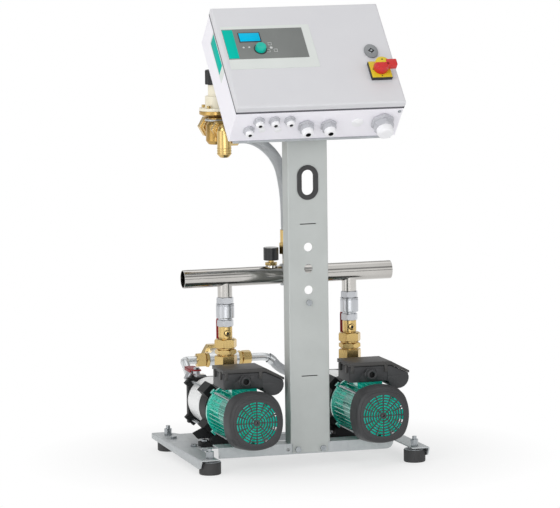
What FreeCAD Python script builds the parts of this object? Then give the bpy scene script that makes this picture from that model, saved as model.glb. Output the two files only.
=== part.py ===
import FreeCAD, Part
import math
import os
import Sketcher

# Pressure maintenance unit: two small multistage pumps on a sheet base, a column
# with a tilted control cabinet, a discharge manifold, an overflow valve and the
# suction pipework. Millimetres, +Z up. The origin is on the floor, at the middle
# of the four rubber feet. +X is to the right seen from the front, +Y to the back.

SIZES = [
    # base frame
    ("plate_sheet", 3.0, "thickness of the folded base sheets"),
    ("foot_x", 244.0, "half the distance between the feet, left to right"),
    ("foot_pitch", 356.0, "distance between the feet, front to back"),
    ("foot_radius", 25.0, "rubber foot"),
    ("foot_height", 30.0, "rubber foot with its steel disc"),
    ("disc_thick", 1.5, "steel disc on a rubber foot"),
    ("foot_hole", 4.25, "threaded hole in the underside of a foot, radius"),
    ("foot_hole_depth", 12.0, "depth of that hole"),
    ("stud_radius", 5.0, "foot stud M10"),
    ("stud_long", 29.0, "foot stud above the foot"),
    ("stud_nut", 16.0, "nuts on a foot stud, together"),
    ("foot_edge", 2.0, "chamfer of a rubber foot"),
    ("stud_clear", 0.5, "radial room of a bolt in its hole"),
    ("arm_inner", 14.0, "plate inside the foot stud"),
    ("arm_outer", 28.0, "plate outside the foot stud"),
    ("arm_front", 25.0, "plate in front of the foot stud"),
    ("arm_rear", 45.0, "plate behind the rear foot stud"),
    ("plate_reach", 78.0, "inner edge of the wide plate from the pump axis"),
    ("plate_front", 42.0, "wide plate in front of the riser"),
    ("plate_rear", 178.0, "wide plate behind the riser"),
    ("flange_rear", 12.5, "outer flange height at the rear"),
    ("flange_front", 23.0, "outer flange height at the front"),
    ("flange_slope", 24.0, "length of the flange's rising front edge"),
    ("flange_nose", 10.0, "start of that edge"),
    ("plate_slope", 17.0, "width of the slope at a rear corner"),
    ("plate_corner", 8.0, "start of that slope beyond the foot stud"),
    ("rail_left", 217.0, "front rail, left of the middle"),
    ("rail_right", 200.0, "front rail, right of the middle"),
    ("rail_top", 55.0, "top of the front rail above the floor"),
    ("rail_depth", 50.0, "top flange of the front rail"),
    ("rail_corner", 17.0, "rounded lower corner of the front rail"),
    ("rail_hole", 3.5, "earth hole of the front rail, radius"),
    ("rail_hole_out", 5.4, "the same, outside the column"),
    ("strip_end", 12.0, "cross strip beyond its outer bolts"),
    ("rear_end", 14.0, "rear rail beyond its bolts"),
    ("rear_half", 15.0, "half depth of the rear rail"),
    ("rear_drop", 16.0, "rear rail below its top"),
    ("tongue_half", 105.0, "half width of the tongue under the side plates"),
    ("cross_half", 15.0, "half depth of the cross strip at the pump feet"),
    ("cross_shift", 5.0, "middle of the cross strip behind the foot bolts"),
    ("cross_bolt_x", 233.0, "bolt joining strip and side plate"),
    ("rear_bolt_x", 245.0, "bolt joining rear rail and side plate"),
    ("rear_bolt_y", 125.0, "the same, from the middle"),
    ("bolt_radius", 4.0, "M8 bolts"),
    ("bolt_flats", 13.0, "M8 hexagon"),
    ("bolt_head", 5.5, "height of an M8 head or nut"),
    # column
    ("front_y", -160.0, "front face of the column"),
    ("column_half", 47.2, "half the column width"),
    ("column_depth", 41.0, "column depth"),
    ("column_sheet", 3.0, "column wall"),
    ("column_lip", 11.0, "inward lip of the open back"),
    ("tab_half", 42.0, "half width of the tab over the rail"),
    ("tab_bolt_x", 30.0, "tab bolts from the middle"),
    ("tab_bolt_z", 41.0, "tab bolts above the floor"),
    ("grip_z", 651.5, "middle of the oval grip hole"),
    ("grip_half_width", 20.0, "half width of the oval hole in the sheet"),
    ("grip_half_height", 35.0, "half height of the oval hole in the sheet"),
    ("trim_out", 5.0, "trim flange outside the hole"),
    ("trim_in", 6.0, "trim thickness inside the hole"),
    ("trim_thick", 2.5, "trim flange thickness"),
    ("hole_radius", 10.0, "round column holes"),
    ("hole_top_z", 504.0, "upper round hole"),
    ("hole_pitch", 49.0, "pitch of the round holes"),
    ("clamp_bolt_z", 377.0, "bolt that holds the manifold clamp"),
    ("slit_high_z", 557.0, "upper slit"),
    ("slit_low_z", 209.0, "lower slit"),
    ("slit_half", 19.0, "half length of a slit"),
    ("slit_high", 2.0, "height of a slit"),
    # cabinet
    ("tilt", 45.0, "lean of the cabinet in degrees"),
    ("cab_y", -198.0, "rear lower edge of the cabinet, front to back"),
    ("cab_z", 755.0, "rear lower edge of the cabinet above the floor"),
    ("cab_half", 196.5, "half width of the cabinet shell"),
    ("cab_height", 296.0, "height of the cabinet shell"),
    ("cab_depth", 97.0, "depth of the cabinet shell"),
    ("cab_wall", 2.0, "wall of shell and door"),
    ("door_half", 197.5, "half width of the door"),
    ("door_over", 1.0, "door beyond the shell, top and bottom"),
    ("door_gap", 3.0, "gap between shell and door"),
    ("door_thick", 17.0, "depth of the folded door"),
    ("door_round", 5.0, "rounded outer edges of the door"),
    ("bracket_half", 186.0, "half width of the cabinet bracket"),
    ("bracket_high", 240.0, "height of the cabinet bracket"),
    ("bracket_under", 4.0, "bracket below the cabinet"),
    ("bracket_sheet", 4.0, "bracket thickness"),
    ("pin_radius", 1.6, "hinge pin"),
    ("barrel_radius", 2.8, "hinge barrel"),
    ("barrel_half", 12.0, "half length of a hinge barrel"),
    ("hinge_inset", 45.0, "hinge middle from the cabinet's ends"),
    ("running_fit", 0.06, "radial clearance of turning parts"),
    ("seat_gap", 0.3, "room at a screwed seat"),
    ("panel_left", -188.0, "control panel film, left edge"),
    ("panel_right", 20.5, "control panel film, right edge"),
    ("panel_low", 111.0, "control panel film, lower edge"),
    ("panel_high", 238.5, "control panel film, upper edge"),
    ("panel_thick", 0.8, "control panel film with its bezel"),
    ("knob_x", -108.0, "control knob"),
    ("knob_z", 168.0, "control knob height on the door"),
    ("knob_radius", 12.5, "control knob"),
    ("knob_high", 12.0, "control knob"),
    ("spindle_radius", 3.0, "knob spindle"),
    ("spindle_room", 1.0, "room round a spindle in the door"),
    ("spindle_long", 16.0, "spindle behind the door face"),
    ("collar_radius", 6.0, "collar of the spindle behind the door"),
    ("lock_x", 149.0, "quarter-turn lock"),
    ("lock_z", 150.0, "quarter-turn lock height on the door"),
    ("lock_radius", 8.0, "turning insert of the lock"),
    ("lock_half_wide", 16.0, "half width of the lock housing"),
    ("lock_half_high", 20.0, "half height of the lock housing"),
    ("lock_thick", 4.0, "lock housing on the door"),
    ("cam_long", 42.0, "lock cam"),
    ("cam_wide", 14.0, "lock cam"),
    ("switch_x", 155.0, "main switch"),
    ("switch_z", 89.0, "main switch height on the door"),
    ("switch_half", 24.5, "half width of the switch plate"),
    ("switch_thick", 8.0, "switch plate"),
    ("handle_radius", 17.0, "round part of the switch handle"),
    ("handle_high", 17.0, "switch handle"),
    ("handle_arm", 34.0, "reach of the switch handle"),
    ("handle_arm_wide", 17.0, "width of the handle arm"),
    # manifold and clamp
    ("riser_y", 8.0, "risers and manifold, front to back"),
    ("manifold_z", 423.0, "manifold axis above the floor"),
    ("manifold_long", 500.0, "manifold length"),
    ("manifold_radius", 21.2, "manifold, outside"),
    ("pipe_wall", 2.0, "wall of the steel pipes"),
    ("stub_radius", 16.85, "branch stub"),
    ("stub_bore", 12.0, "bore of a branch"),
    ("clamp_half", 14.0, "half width of the manifold clamp"),
    ("clamp_wall", 4.0, "wall of the manifold clamp"),
    ("hose_stub_z", 471.0, "top of the hose stub on the manifold"),
    ("hose_stub_radius", 11.0, "hose stub"),
    ("gauge_x", -38.0, "pressure gauge"),
    ("gauge_boss_z", 446.0, "top of the gauge boss"),
    ("gauge_hex", 25.0, "gauge adapter across flats"),
    ("gauge_hex_high", 7.0, "gauge adapter hexagon"),
    ("gauge_neck_high", 5.0, "gauge adapter neck"),
    ("gauge_radius", 17.5, "gauge case"),
    ("gauge_high", 25.0, "gauge case"),
    ("bezel_high", 4.0, "gauge bezel above the dial"),
    ("needle_long", 12.0, "gauge needle"),
    # risers
    ("port_top", 198.0, "top of the pump's discharge port"),
    ("valve_long", 44.0, "discharge ball valve"),
    ("valve_flats", 46.0, "hexagon of valve and union nuts"),
    ("valve_body_radius", 20.0, "middle of a ball valve"),
    ("valve_bore", 10.0, "bore of the discharge line"),
    ("plug_radius", 12.5, "turning plug of a discharge valve"),
    ("stem_radius", 4.5, "valve stem"),
    ("tail_hex_high", 16.0, "lower hexagon of the union tail"),
    ("tail_flats", 44.0, "the same, across flats"),
    ("nut_high", 23.0, "union nut"),
    ("tail_high", 28.0, "neck of the union tail"),
    ("tail_radius", 16.0, "neck of the union tail"),
    ("check_low", 17.0, "lower hexagon of the check valve"),
    ("check_flats", 33.5, "check valve hexagons"),
    ("check_groove", 3.0, "groove of the check valve"),
    ("check_high", 33.0, "barrel of the check valve"),
    ("check_radius", 21.0, "barrel of the check valve"),
    ("check_top", 16.0, "upper hexagon of the check valve"),
    ("lever_back", 33.0, "discharge lever behind the riser"),
    ("lever_long", 112.0, "discharge lever above its stem"),
    ("lever_wide", 20.0, "lever width"),
    ("lever_thick", 3.0, "lever sheet"),
    # pumps
    ("pump_x", 150.0, "pump axis from the middle"),
    ("shaft_z", 120.0, "pump axis above the floor"),
    ("cover_front", -241.0, "front of the fan cover"),
    ("cover_deep", 42.0, "fan cover depth"),
    ("cover_half", 68.5, "half width of the fan cover"),
    ("cover_front_half", 62.5, "half width of its front face"),
    ("cover_wall", 2.5, "fan cover wall"),
    ("grille_inner", 7.5, "inner edge of the first ring of slots"),
    ("grille_pitch", 6.1, "pitch of the rings of slots"),
    ("grille_slot", 3.4, "width of a slot"),
    ("grille_rings", 7.0, "rings of slots"),
    ("grille_spoke", 2.6, "width of a spoke"),
    ("grille_hole", 2.5, "middle hole"),
    ("grille_bow", 1.03, "bow of a slot over its corners"),
    ("cover_corner", 26.0, "round corners of the fan cover"),
    ("motor_long", 149.0, "motor frame length"),
    ("seat_half", 30.0, "half width of the terminal box seat"),
    ("seat_front", 58.0, "terminal box seat behind the front of the frame"),
    ("seat_deep", 62.0, "depth of the terminal box seat"),
    ("stator_radius", 46.0, "stator in the frame"),
    ("rotor_radius", 29.0, "rotor core"),
    ("air_gap", 0.5, "air gap of the motor"),
    ("shaft_gap", 24.0, "windings behind the ends of the frame"),
    ("shield_thick", 8.0, "end shields of the motor"),
    ("ring_radius", 64.0, "shield at the pump end"),
    ("motor_rod_circle", 65.0, "motor bolts, from the axis"),
    ("fan_blades", 7.0, "fan blades"),
    ("motor_radius", 50.0, "motor frame between the fins"),
    ("fin_radius", 60.5, "tips of the fins"),
    ("fin_thick", 1.8, "fin thickness"),
    ("fin_count", 36.0, "number of fins"),
    ("shaft_radius", 7.0, "pump shaft"),
    ("bearing_radius", 17.5, "outer ring of a bearing"),
    ("bearing_wide", 11.0, "width of a bearing"),
    ("fan_radius", 50.0, "fan"),
    ("fan_wide", 19.0, "width of the fan blades"),
    ("fan_gap", 5.0, "fan behind the cover face"),
    ("lantern_long", 95.0, "pump end shield with the lantern"),
    ("rod_thread", 18.0, "tie rod in its lug"),
    ("lantern_radius", 56.0, "lantern flanges"),
    ("lantern_waist", 44.0, "lantern waist"),
    ("lug_reach", 71.0, "tie rod lugs, from the axis"),
    ("lug_wide", 28.0, "width of a lug"),
    ("lug_long", 54.0, "length of the lantern lugs"),
    ("rod_circle", 63.6, "tie rods, from the axis"),
    ("rod_radius", 3.4, "tie rods"),
    ("motor_rod_radius", 2.4, "motor bolts"),
    ("port_radius", 20.0, "discharge port boss"),
    ("casing_long", 100.0, "stage casing"),
    ("casing_radius", 59.0, "stage casing"),
    ("casing_groove", 2.0, "depth of its grooves"),
    ("casing_wall", 2.5, "wall of the stage casing"),
    ("stages", 4.0, "number of stages"),
    ("impeller_radius", 47.0, "impellers"),
    ("impeller_thick", 7.0, "impellers"),
    ("end_thick", 15.0, "suction cover"),
    ("end_half", 53.0, "half width of the suction cover"),
    ("suction_rise", 30.0, "suction port above the shaft"),
    ("suction_boss", 15.0, "length of the suction port"),
    ("suction_radius", 18.0, "suction port boss"),
    ("suction_bore", 8.5, "bore of the suction line"),
    ("suction_plug", 11.5, "turning plug of a suction valve"),
    ("nipple_radius", 13.0, "nipple between pump and suction valve"),
    ("foot_block_half", 70.0, "half width of the pump foot"),
    ("foot_block_deep", 15.0, "half depth of the pump foot"),
    ("foot_flange", 10.5, "thickness of the foot flange"),
    ("foot_bolt_x", 58.0, "foot bolts from the pump axis"),
    ("foot_bolt_y", -17.0, "foot bolts from the riser"),
    ("foot_gap", 0.2, "room between foot and lantern"),
    ("foot_top", 38.0, "top of the pump foot below the shaft"),
    ("foot_web", 7.0, "thickness of the wings of the pump foot"),
    # terminal boxes
    ("box_left", 51.0, "terminal box left of the pump axis"),
    ("box_step", 39.0, "start of the capacitor part"),
    ("box_right", 91.0, "terminal box right of the pump axis"),
    ("box_front", -149.0, "front of the terminal box"),
    ("box_deep", 88.0, "depth of the terminal box"),
    ("box_low", 65.0, "underside of the box above the shaft"),
    ("box_high", 102.0, "top edge of the box above the shaft"),
    ("box_end_high", 82.0, "top edge of the box at its right end"),
    ("lid_thick", 9.0, "lid"),
    ("lid_over", 1.5, "lid beyond the box"),
    ("cap_radius", 24.0, "capacitor housing"),
    ("box_wall", 2.5, "wall of the terminal box"),
    ("gland_hole", 9.0, "gland hole of the terminal box, radius"),
    ("gland_flats", 27.0, "gland of the terminal box"),
    ("cap_x", 60.0, "capacitor housing from the pump axis"),
    ("cap_rise", 73.0, "capacitor housing above the shaft"),
    ("gland_x", -2.0, "terminal box gland from the pump axis"),
    ("gland_rise", 83.5, "the same, above the shaft"),
    # suction side
    ("suction_valve_y", 258.0, "stem of the suction ball valves"),
    ("suction_valve_half", 42.0, "half length of a suction ball valve"),
    ("suction_flats", 36.0, "hexagons of the suction valves"),
    ("suction_body_radius", 17.0, "middle of a suction ball valve"),
    ("suction_pipe_radius", 9.5, "suction pipe"),
    ("suction_lever_rise", 25.0, "suction lever above its valve axis"),
    ("suction_lever_long", 68.0, "suction lever"),
    ("tee_x", -48.5, "middle of the suction tee"),
    ("tee_y", 382.0, "suction tee, front to back"),
    ("tee_z", 179.0, "suction tee above the floor"),
    ("tee_half", 36.5, "half length of the tee"),
    ("tee_radius", 16.0, "tee body"),
    ("tee_back", 80.0, "rear leg of the tee"),
    ("ring_long", 9.0, "thin union hexagon"),
    ("tee_nut_long", 22.0, "union nut of the tee"),
    ("tee_flats", 33.0, "union nuts of the tee, across flats"),
    ("inlet_flats", 46.0, "inlet nut, across flats"),
    ("inlet_long", 26.0, "inlet nut"),
    ("inlet_bore", 15.0, "thread bore of the inlet nut, radius"),
    ("stub_long", 12.0, "pipe stub between tee nut and hose"),
    ("ferrule_small", 11.5, "ferrules of the suction hose, radius"),
    ("ferrule_short", 12.0, "ferrules of the suction hose"),
    ("suction_hose_radius", 9.5, "suction hose"),
    # overflow valve
    ("relief_x", -166.0, "overflow valve axis"),
    ("side_port_down", 32.0, "side ports of the valve below its brass flange"),
    ("relief_flange_z", 800.0, "underside of the brass flange"),
    ("relief_flange", 8.0, "brass flange"),
    ("relief_flange_radius", 37.5, "flanges"),
    ("relief_neck", 17.0, "neck under the flange, radius"),
    ("relief_body_radius", 23.0, "bulb of the valve body"),
    ("relief_below", 37.0, "valve body below its side ports"),
    ("relief_port", 14.0, "side ports, radius"),
    ("relief_half", 31.0, "half length over the side ports"),
    ("relief_bore", 8.0, "bore of the valve"),
    ("relief_flats", 38.0, "hexagons at the side ports"),
    ("bonnet_flange", 7.0, "bonnet flange"),
    ("bonnet_radius", 24.0, "bonnet"),
    ("bonnet_high", 27.0, "bonnet"),
    ("bonnet_neck", 17.0, "bonnet neck, radius"),
    ("bonnet_neck_high", 26.0, "bonnet neck"),
    ("adjust_radius", 23.5, "adjusting knob"),
    ("adjust_high", 34.0, "adjusting knob"),
    ("adjust_spindle", 5.0, "its spindle, radius"),
    ("adjust_gap", 0.5, "room under the adjusting knob"),
    ("spindle_deep", 30.0, "depth of the spindle bore"),
    ("elbow_long", 67.0, "outlet elbow in front of the valve axis"),
    ("elbow_radius", 12.0, "outlet elbow, radius"),
    ("nozzle_radius", 16.0, "hose nozzle of the outlet, radius"),
    ("nozzle_drop", 62.0, "lower end of the outlet nozzle below the side ports"),
    ("nozzle_tip", 7.0, "tapered end of the outlet nozzle"),
    ("hose_port_x", -131.0, "face of the valve's hose port"),
    ("hose_port_down", 24.5, "hose port below the side ports"),
    ("hose_radius", 13.0, "overflow hose"),
    ("hose_nut_long", 17.0, "nut at the valve end of the hose"),
    ("hose_nut_high", 26.0, "nut at the manifold end of the hose"),
    ("hose_flats", 31.0, "hose nuts, across flats"),
    ("wide_hex", 13.0, "length of the wide hexagon at the outlet"),
    ("small_hex", 12.0, "length of the narrow one"),
    ("small_hex_less", 6.0, "narrow hexagon, less across flats"),
    ("rear_hex", 15.0, "length of the rear union hexagon"),
    ("rear_plug", 20.0, "length of the rear plug"),
    ("flange_bolt", 8.0, "flange bolts, across flats"),
    ("flange_bolt_high", 6.0, "height of their heads"),
    ("flange_bolt_in", 6.0, "flange bolts inside the flange's edge"),
    ("ferrule_radius", 15.0, "hose ferrules"),
    ("ferrule_long", 30.0, "hose ferrules"),
    ("arm_below", 15.0, "arm of the overflow valve below the brass flange"),
    ("arm_wide", 30.0, "width of that arm"),
    ("arm_thick", 4.0, "its sheet"),
    ("lip_wide", 16.0, "front lip of the shell"),
    ("pin_inset", 7.0, "hinge pin inside the door edge"),
    ("pin_behind", 8.5, "hinge pin in front of the door's rear edge"),
    ("lug_thick", 4.0, "hinge lugs of the door"),
    ("goose_reach", 14.5, "hinge arm beside the pin"),
    ("goose_sheet", 2.0, "hinge arm sheet"),
    ("unit_inset", 20.0, "control unit inside the film's left edge"),
    ("unit_deep", 34.0, "control unit behind the door"),
    ("contact_deep", 30.0, "contact block of the main switch"),
    ("contact_half", 20.0, "half width of that block"),
    ("contact_half_high", 18.0, "half height of that block"),
    ("cam_gap", 20.5, "lock cam behind the door face"),
    ("gland_small", 18.0, "small cable glands"),
    ("gland_medium", 25.0, "medium cable glands"),
    ("gland_large", 40.0, "large cable gland"),
    ("mount_half", 170.0, "half width of the mounting plate in the shell"),
    ("mount_inset", 25.0, "mounting plate inside the shell's ends"),
    ("mount_sheet", 2.0, "mounting plate"),
    ("din_half", 160.0, "half length of a mounting rail"),
    ("din_low", 85.0, "lower mounting rail above the shell's floor"),
    ("din_high", 215.0, "upper mounting rail above the shell's floor"),
    ("din_wide", 35.0, "width of a mounting rail"),
    ("din_deep", 7.5, "depth of a mounting rail"),
    ("breaker_x", 30.0, "first circuit breaker"),
    ("breaker_pitch", 32.0, "pitch of the circuit breakers"),
    ("breaker_wide", 18.0, "circuit breaker"),
    ("breaker_high", 80.0, "circuit breaker"),
    ("breaker_deep", 50.0, "circuit breaker"),
    ("contactor_x", 150.0, "first contactor left of the middle"),
    ("contactor_pitch", 55.0, "pitch of the contactors"),
    ("contactor_wide", 45.0, "contactor"),
    ("contactor_high", 74.0, "contactor"),
    ("contactor_deep", 26.0, "contactor"),
    ("terminal_right", 60.0, "right end of the terminal row"),
    ("terminal_high", 46.0, "terminal row"),
    ("terminal_deep", 30.0, "terminal row"),
]

doc = FreeCAD.newDocument("pressure_maintenance_unit")
sheet = doc.addObject("Spreadsheet::Sheet", "Sizes")
Vector = FreeCAD.Vector
PARTS = []


class Size:
    """A length with both its formula on the sheet and its present value."""

    def __init__(self, text, value):
        self.text = text
        self.value = value

    def __add__(self, other):
        other = as_size(other)
        return Size(f"({self.text} + {other.text})", self.value + other.value)

    def __radd__(self, other):
        return as_size(other) + self

    def __sub__(self, other):
        other = as_size(other)
        return Size(f"({self.text} - {other.text})", self.value - other.value)

    def __rsub__(self, other):
        return as_size(other) - self

    def __mul__(self, other):
        other = as_size(other)
        return Size(f"({self.text} * {other.text})", self.value * other.value)

    def __rmul__(self, other):
        return as_size(other) * self

    def __truediv__(self, other):
        other = as_size(other)
        return Size(f"({self.text} / {other.text})", self.value / other.value)

    def __neg__(self):
        return Size(f"(0 - {self.text})", -self.value)


def as_size(number):
    if isinstance(number, Size):
        return number
    return Size(f"({number})", float(number))


class Words:
    """The named sizes, one attribute each."""


s = Words()
for row, (word, number, note) in enumerate(SIZES, 1):
    sheet.set(f"A{row}", word)
    sheet.set(f"B{row}", str(number))
    sheet.setAlias(f"B{row}", word)
    sheet.set(f"C{row}", note)
    setattr(s, word, Size(f"Sizes.{word}", number))
doc.recompute()

ROOT_2 = math.sqrt(2)
ROOT_3 = math.sqrt(3)
ALONG = {
    "z": FreeCAD.Rotation(),
    "y": FreeCAD.Rotation(Vector(1, 0, 0), -90),
    "x": FreeCAD.Rotation(Vector(0, 1, 0), 90),
    "-z": FreeCAD.Rotation(Vector(1, 0, 0), 180),
    "-y": FreeCAD.Rotation(Vector(1, 0, 0), 90),
}


# helpers: binding, placing, primitives

def bind(item, prop, size):
    size = as_size(size)
    item.setExpression(prop, size.text)


def put(item, x=0, y=0, z=0, along="z"):
    item.Placement = FreeCAD.Placement(Vector(), ALONG[along])
    for letter, size in zip("xyz", (x, y, z)):
        bind(item, f"Placement.Base.{letter}", size)
    return item


def lean(item):
    """Put a piece made in the cabinet's upright frame where the cabinet leans."""
    item.Placement = FreeCAD.Placement(Vector(), FreeCAD.Rotation(Vector(1, 0, 0), -1))
    bind(item, "Placement.Base.y", s.cab_y)
    bind(item, "Placement.Base.z", s.cab_z)
    bind(item, "Placement.Rotation.Angle", -s.tilt)
    return item


def cylinder(name, radius, height, x=0, y=0, z=0, along="z"):
    item = doc.addObject("Part::Cylinder", name)
    bind(item, "Radius", radius)
    bind(item, "Height", height)
    return put(item, x, y, z, along)


def cone(name, low, high, height, x=0, y=0, z=0, along="z"):
    item = doc.addObject("Part::Cone", name)
    bind(item, "Radius1", low)
    bind(item, "Radius2", high)
    bind(item, "Height", height)
    return put(item, x, y, z, along)


def ball(name, radius, x=0, y=0, z=0):
    item = doc.addObject("Part::Sphere", name)
    bind(item, "Radius", radius)
    return put(item, x, y, z)


def hexagon(name, flats, height, x=0, y=0, z=0, along="z"):
    item = doc.addObject("Part::Prism", name)
    item.Polygon = 6
    bind(item, "Circumradius", flats / ROOT_3)
    bind(item, "Height", height)
    return put(item, x, y, z, along)


def block(name, x0, x1, y0, y1, z0, z1):
    item = doc.addObject("Part::Box", name)
    bind(item, "Length", as_size(x1) - x0)
    bind(item, "Width", as_size(y1) - y0)
    bind(item, "Height", as_size(z1) - z0)
    return put(item, x0, y0, z0)


def fuse(name, *pieces):
    item = doc.addObject("Part::MultiFuse", name)
    item.Shapes = list(pieces)
    item.Refine = True
    return item


def cut(name, base, *tools):
    item = doc.addObject("Part::Cut", name)
    item.Base = base
    item.Tool = tools[0] if len(tools) == 1 else fuse(name + "_tools", *tools)
    return item


def common(name, one, other):
    item = doc.addObject("Part::MultiCommon", name)
    item.Shapes = [one, other]
    return item


def group(name, pieces):
    item = doc.addObject("Part::Compound", name)
    item.Links = pieces
    return item


def finish(item, label):
    item.Label = label
    PARTS.append(item)
    return item


# helpers: bodies made from sketches

def new_body(name):
    return doc.addObject("PartDesign::Body", name)


def sketch_on(body, role, name, rise=0):
    sketch = body.newObject("Sketcher::SketchObject", name)
    plane = [item for item in body.Origin.OriginFeatures if item.Role == role][0]
    sketch.AttachmentSupport = [(plane, "")]
    sketch.MapMode = "FlatFace"
    if rise != 0:
        bind(sketch, "AttachmentOffset.Base.z", rise)
    return sketch


def fix_point(sketch, geometry, end, x, y):
    """Tie one point to the sketch's origin by two sizes."""
    for kind, size in (("DistanceX", x), ("DistanceY", y)):
        size = as_size(size)
        if size.text in ("(0)", "(0.0)"):
            axis = -2 if kind == "DistanceX" else -1
            sketch.addConstraint(Sketcher.Constraint("PointOnObject", geometry, end, axis))
            continue
        rule = Sketcher.Constraint(kind, -1, 1, geometry, end, size.value)
        number = sketch.addConstraint(rule)
        bind(sketch, f"Constraints[{number}]", size)


def draw_outline(sketch, points):
    """A closed outline of straight lines, or of arcs where a point has a third value:
    the radius of the arc that leaves it, bulging outwards on a path run anticlockwise."""
    corners = [(as_size(point[0]), as_size(point[1])) for point in points]
    first = sketch.GeometryCount
    count = len(points)
    for index, point in enumerate(points):
        here = Vector(corners[index][0].value, corners[index][1].value, 0)
        there = corners[(index + 1) % count]
        there = Vector(there[0].value, there[1].value, 0)
        if len(point) == 3:
            middle = (here + there) * 0.5
            side = there - here
            outward = Vector(side.y, -side.x, 0).normalize()
            radius = as_size(point[2]).value
            sagitta = radius - math.sqrt(radius ** 2 - (side.Length / 2) ** 2)
            arc = Part.Arc(here, middle + outward * sagitta, there)
            sketch.addGeometry(arc)
        else:
            sketch.addGeometry(Part.LineSegment(here, there))
    for index in range(count):
        following = first + (index + 1) % count
        joint = Sketcher.Constraint("Coincident", first + index, 2, following, 1)
        sketch.addConstraint(joint)
    for index, (x, y) in enumerate(corners):
        fix_point(sketch, first + index, 1, x, y)
        if len(points[index]) == 3:
            rule = Sketcher.Constraint("Radius", first + index, as_size(points[index][2]).value)
            number = sketch.addConstraint(rule)
            bind(sketch, f"Constraints[{number}]", points[index][2])


def draw_circle(sketch, x, y, radius):
    centre = Vector(as_size(x).value, as_size(y).value, 0)
    circle = Part.Circle(centre, Vector(0, 0, 1), as_size(radius).value)
    geometry = sketch.addGeometry(circle)
    fix_point(sketch, geometry, 3, x, y)
    number = sketch.addConstraint(Sketcher.Constraint("Radius", geometry, as_size(radius).value))
    bind(sketch, f"Constraints[{number}]", radius)


def pad(body, role, name, points, length, holes=(), rise=0, backwards=False):
    sketch = sketch_on(body, role, name + "_outline", rise)
    draw_outline(sketch, points)
    for hole in holes:
        draw_circle(sketch, *hole)
    feature = body.newObject("PartDesign::Pad", name)
    feature.Profile = sketch
    bind(feature, "Length", length)
    feature.Reversed = backwards
    return feature


def round_edges(body, base, name, radius, test):
    """Round the edges of the base feature that pass the test on their middle point."""
    doc.recompute()
    edges = []
    for number, edge in enumerate(base.Shape.Edges, 1):
        span = edge.LastParameter - edge.FirstParameter
        middle = edge.valueAt(edge.FirstParameter + span / 2)
        if test(middle, edge):
            edges.append(f"Edge{number}")
    feature = body.newObject("PartDesign::Fillet", name)
    feature.Base = (base, edges)
    bind(feature, "Radius", radius)
    return feature


def turned(name, points, x=0, y=0, z=0, along="z"):
    """A turned piece from its half section: pairs of radius and height."""
    body = new_body(name)
    sketch = sketch_on(body, "XZ_Plane", name + "_section")
    draw_outline(sketch, points)
    feature = body.newObject("PartDesign::Revolution", name + "_turn")
    feature.Profile = sketch
    feature.ReferenceAxis = (sketch, ["V_Axis"])
    feature.Angle = 360
    return put(body, x, y, z, along)


def polar(body, feature, name, count):
    pattern = body.newObject("PartDesign::PolarPattern", name)
    pattern.Originals = [feature]
    pattern.Axis = (feature.Profile[0], ["N_Axis"])
    pattern.Angle = 360
    bind(pattern, "Occurrences", count)
    body.Tip = pattern
    return pattern


def oval(name, half_wide, half_high, thick, y, z, x=0):
    """An upright oval slab, its flat faces across Y."""
    reach = half_high - half_wide
    body = new_body(name)
    radius = half_wide * 1.0001
    points = [(half_wide, -reach), (half_wide, reach, radius),
              (-half_wide, reach), (-half_wide, -reach, radius)]
    pad(body, "XZ_Plane", name + "_pad", points, thick, backwards=True)
    return put(body, x, y, z)


# heights and depths that several pieces share
plate_low = s.foot_height + s.plate_sheet
plate_top = plate_low + s.plate_sheet
rail_y = s.front_y + s.column_sheet
motor_y = s.cover_front + s.cover_deep
lantern_y = motor_y + s.motor_long
casing_y = lantern_y + s.lantern_long
ring_end = lantern_y + s.shield_thick
fan_y = s.cover_front + s.cover_wall + s.fan_gap
end_y = casing_y + s.casing_long
suction_face_y = end_y + s.end_thick + s.suction_boss
suction_z = s.shaft_z + s.suction_rise
foot_y = s.foot_pitch / 2
foot_bolt_line = s.riser_y + s.foot_bolt_y
cross_y = foot_bolt_line + s.cross_shift
valve_top = s.port_top + s.valve_long
tail_low = valve_top
union_low = tail_low + s.tail_hex_high
tail_neck = union_low + s.nut_high
check_z = tail_neck + s.tail_high
check_barrel = check_z + s.check_low + s.check_groove
check_hex = check_barrel + s.check_high
check_end = check_hex + s.check_top
side_port_z = s.relief_flange_z - s.side_port_down
hose_port_z = side_port_z - s.hose_port_down
relief_floor = side_port_z - s.relief_below
nozzle_low = side_port_z - s.nozzle_drop
SIDES = (("left", -1), ("right", 1))


# base frame

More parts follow.
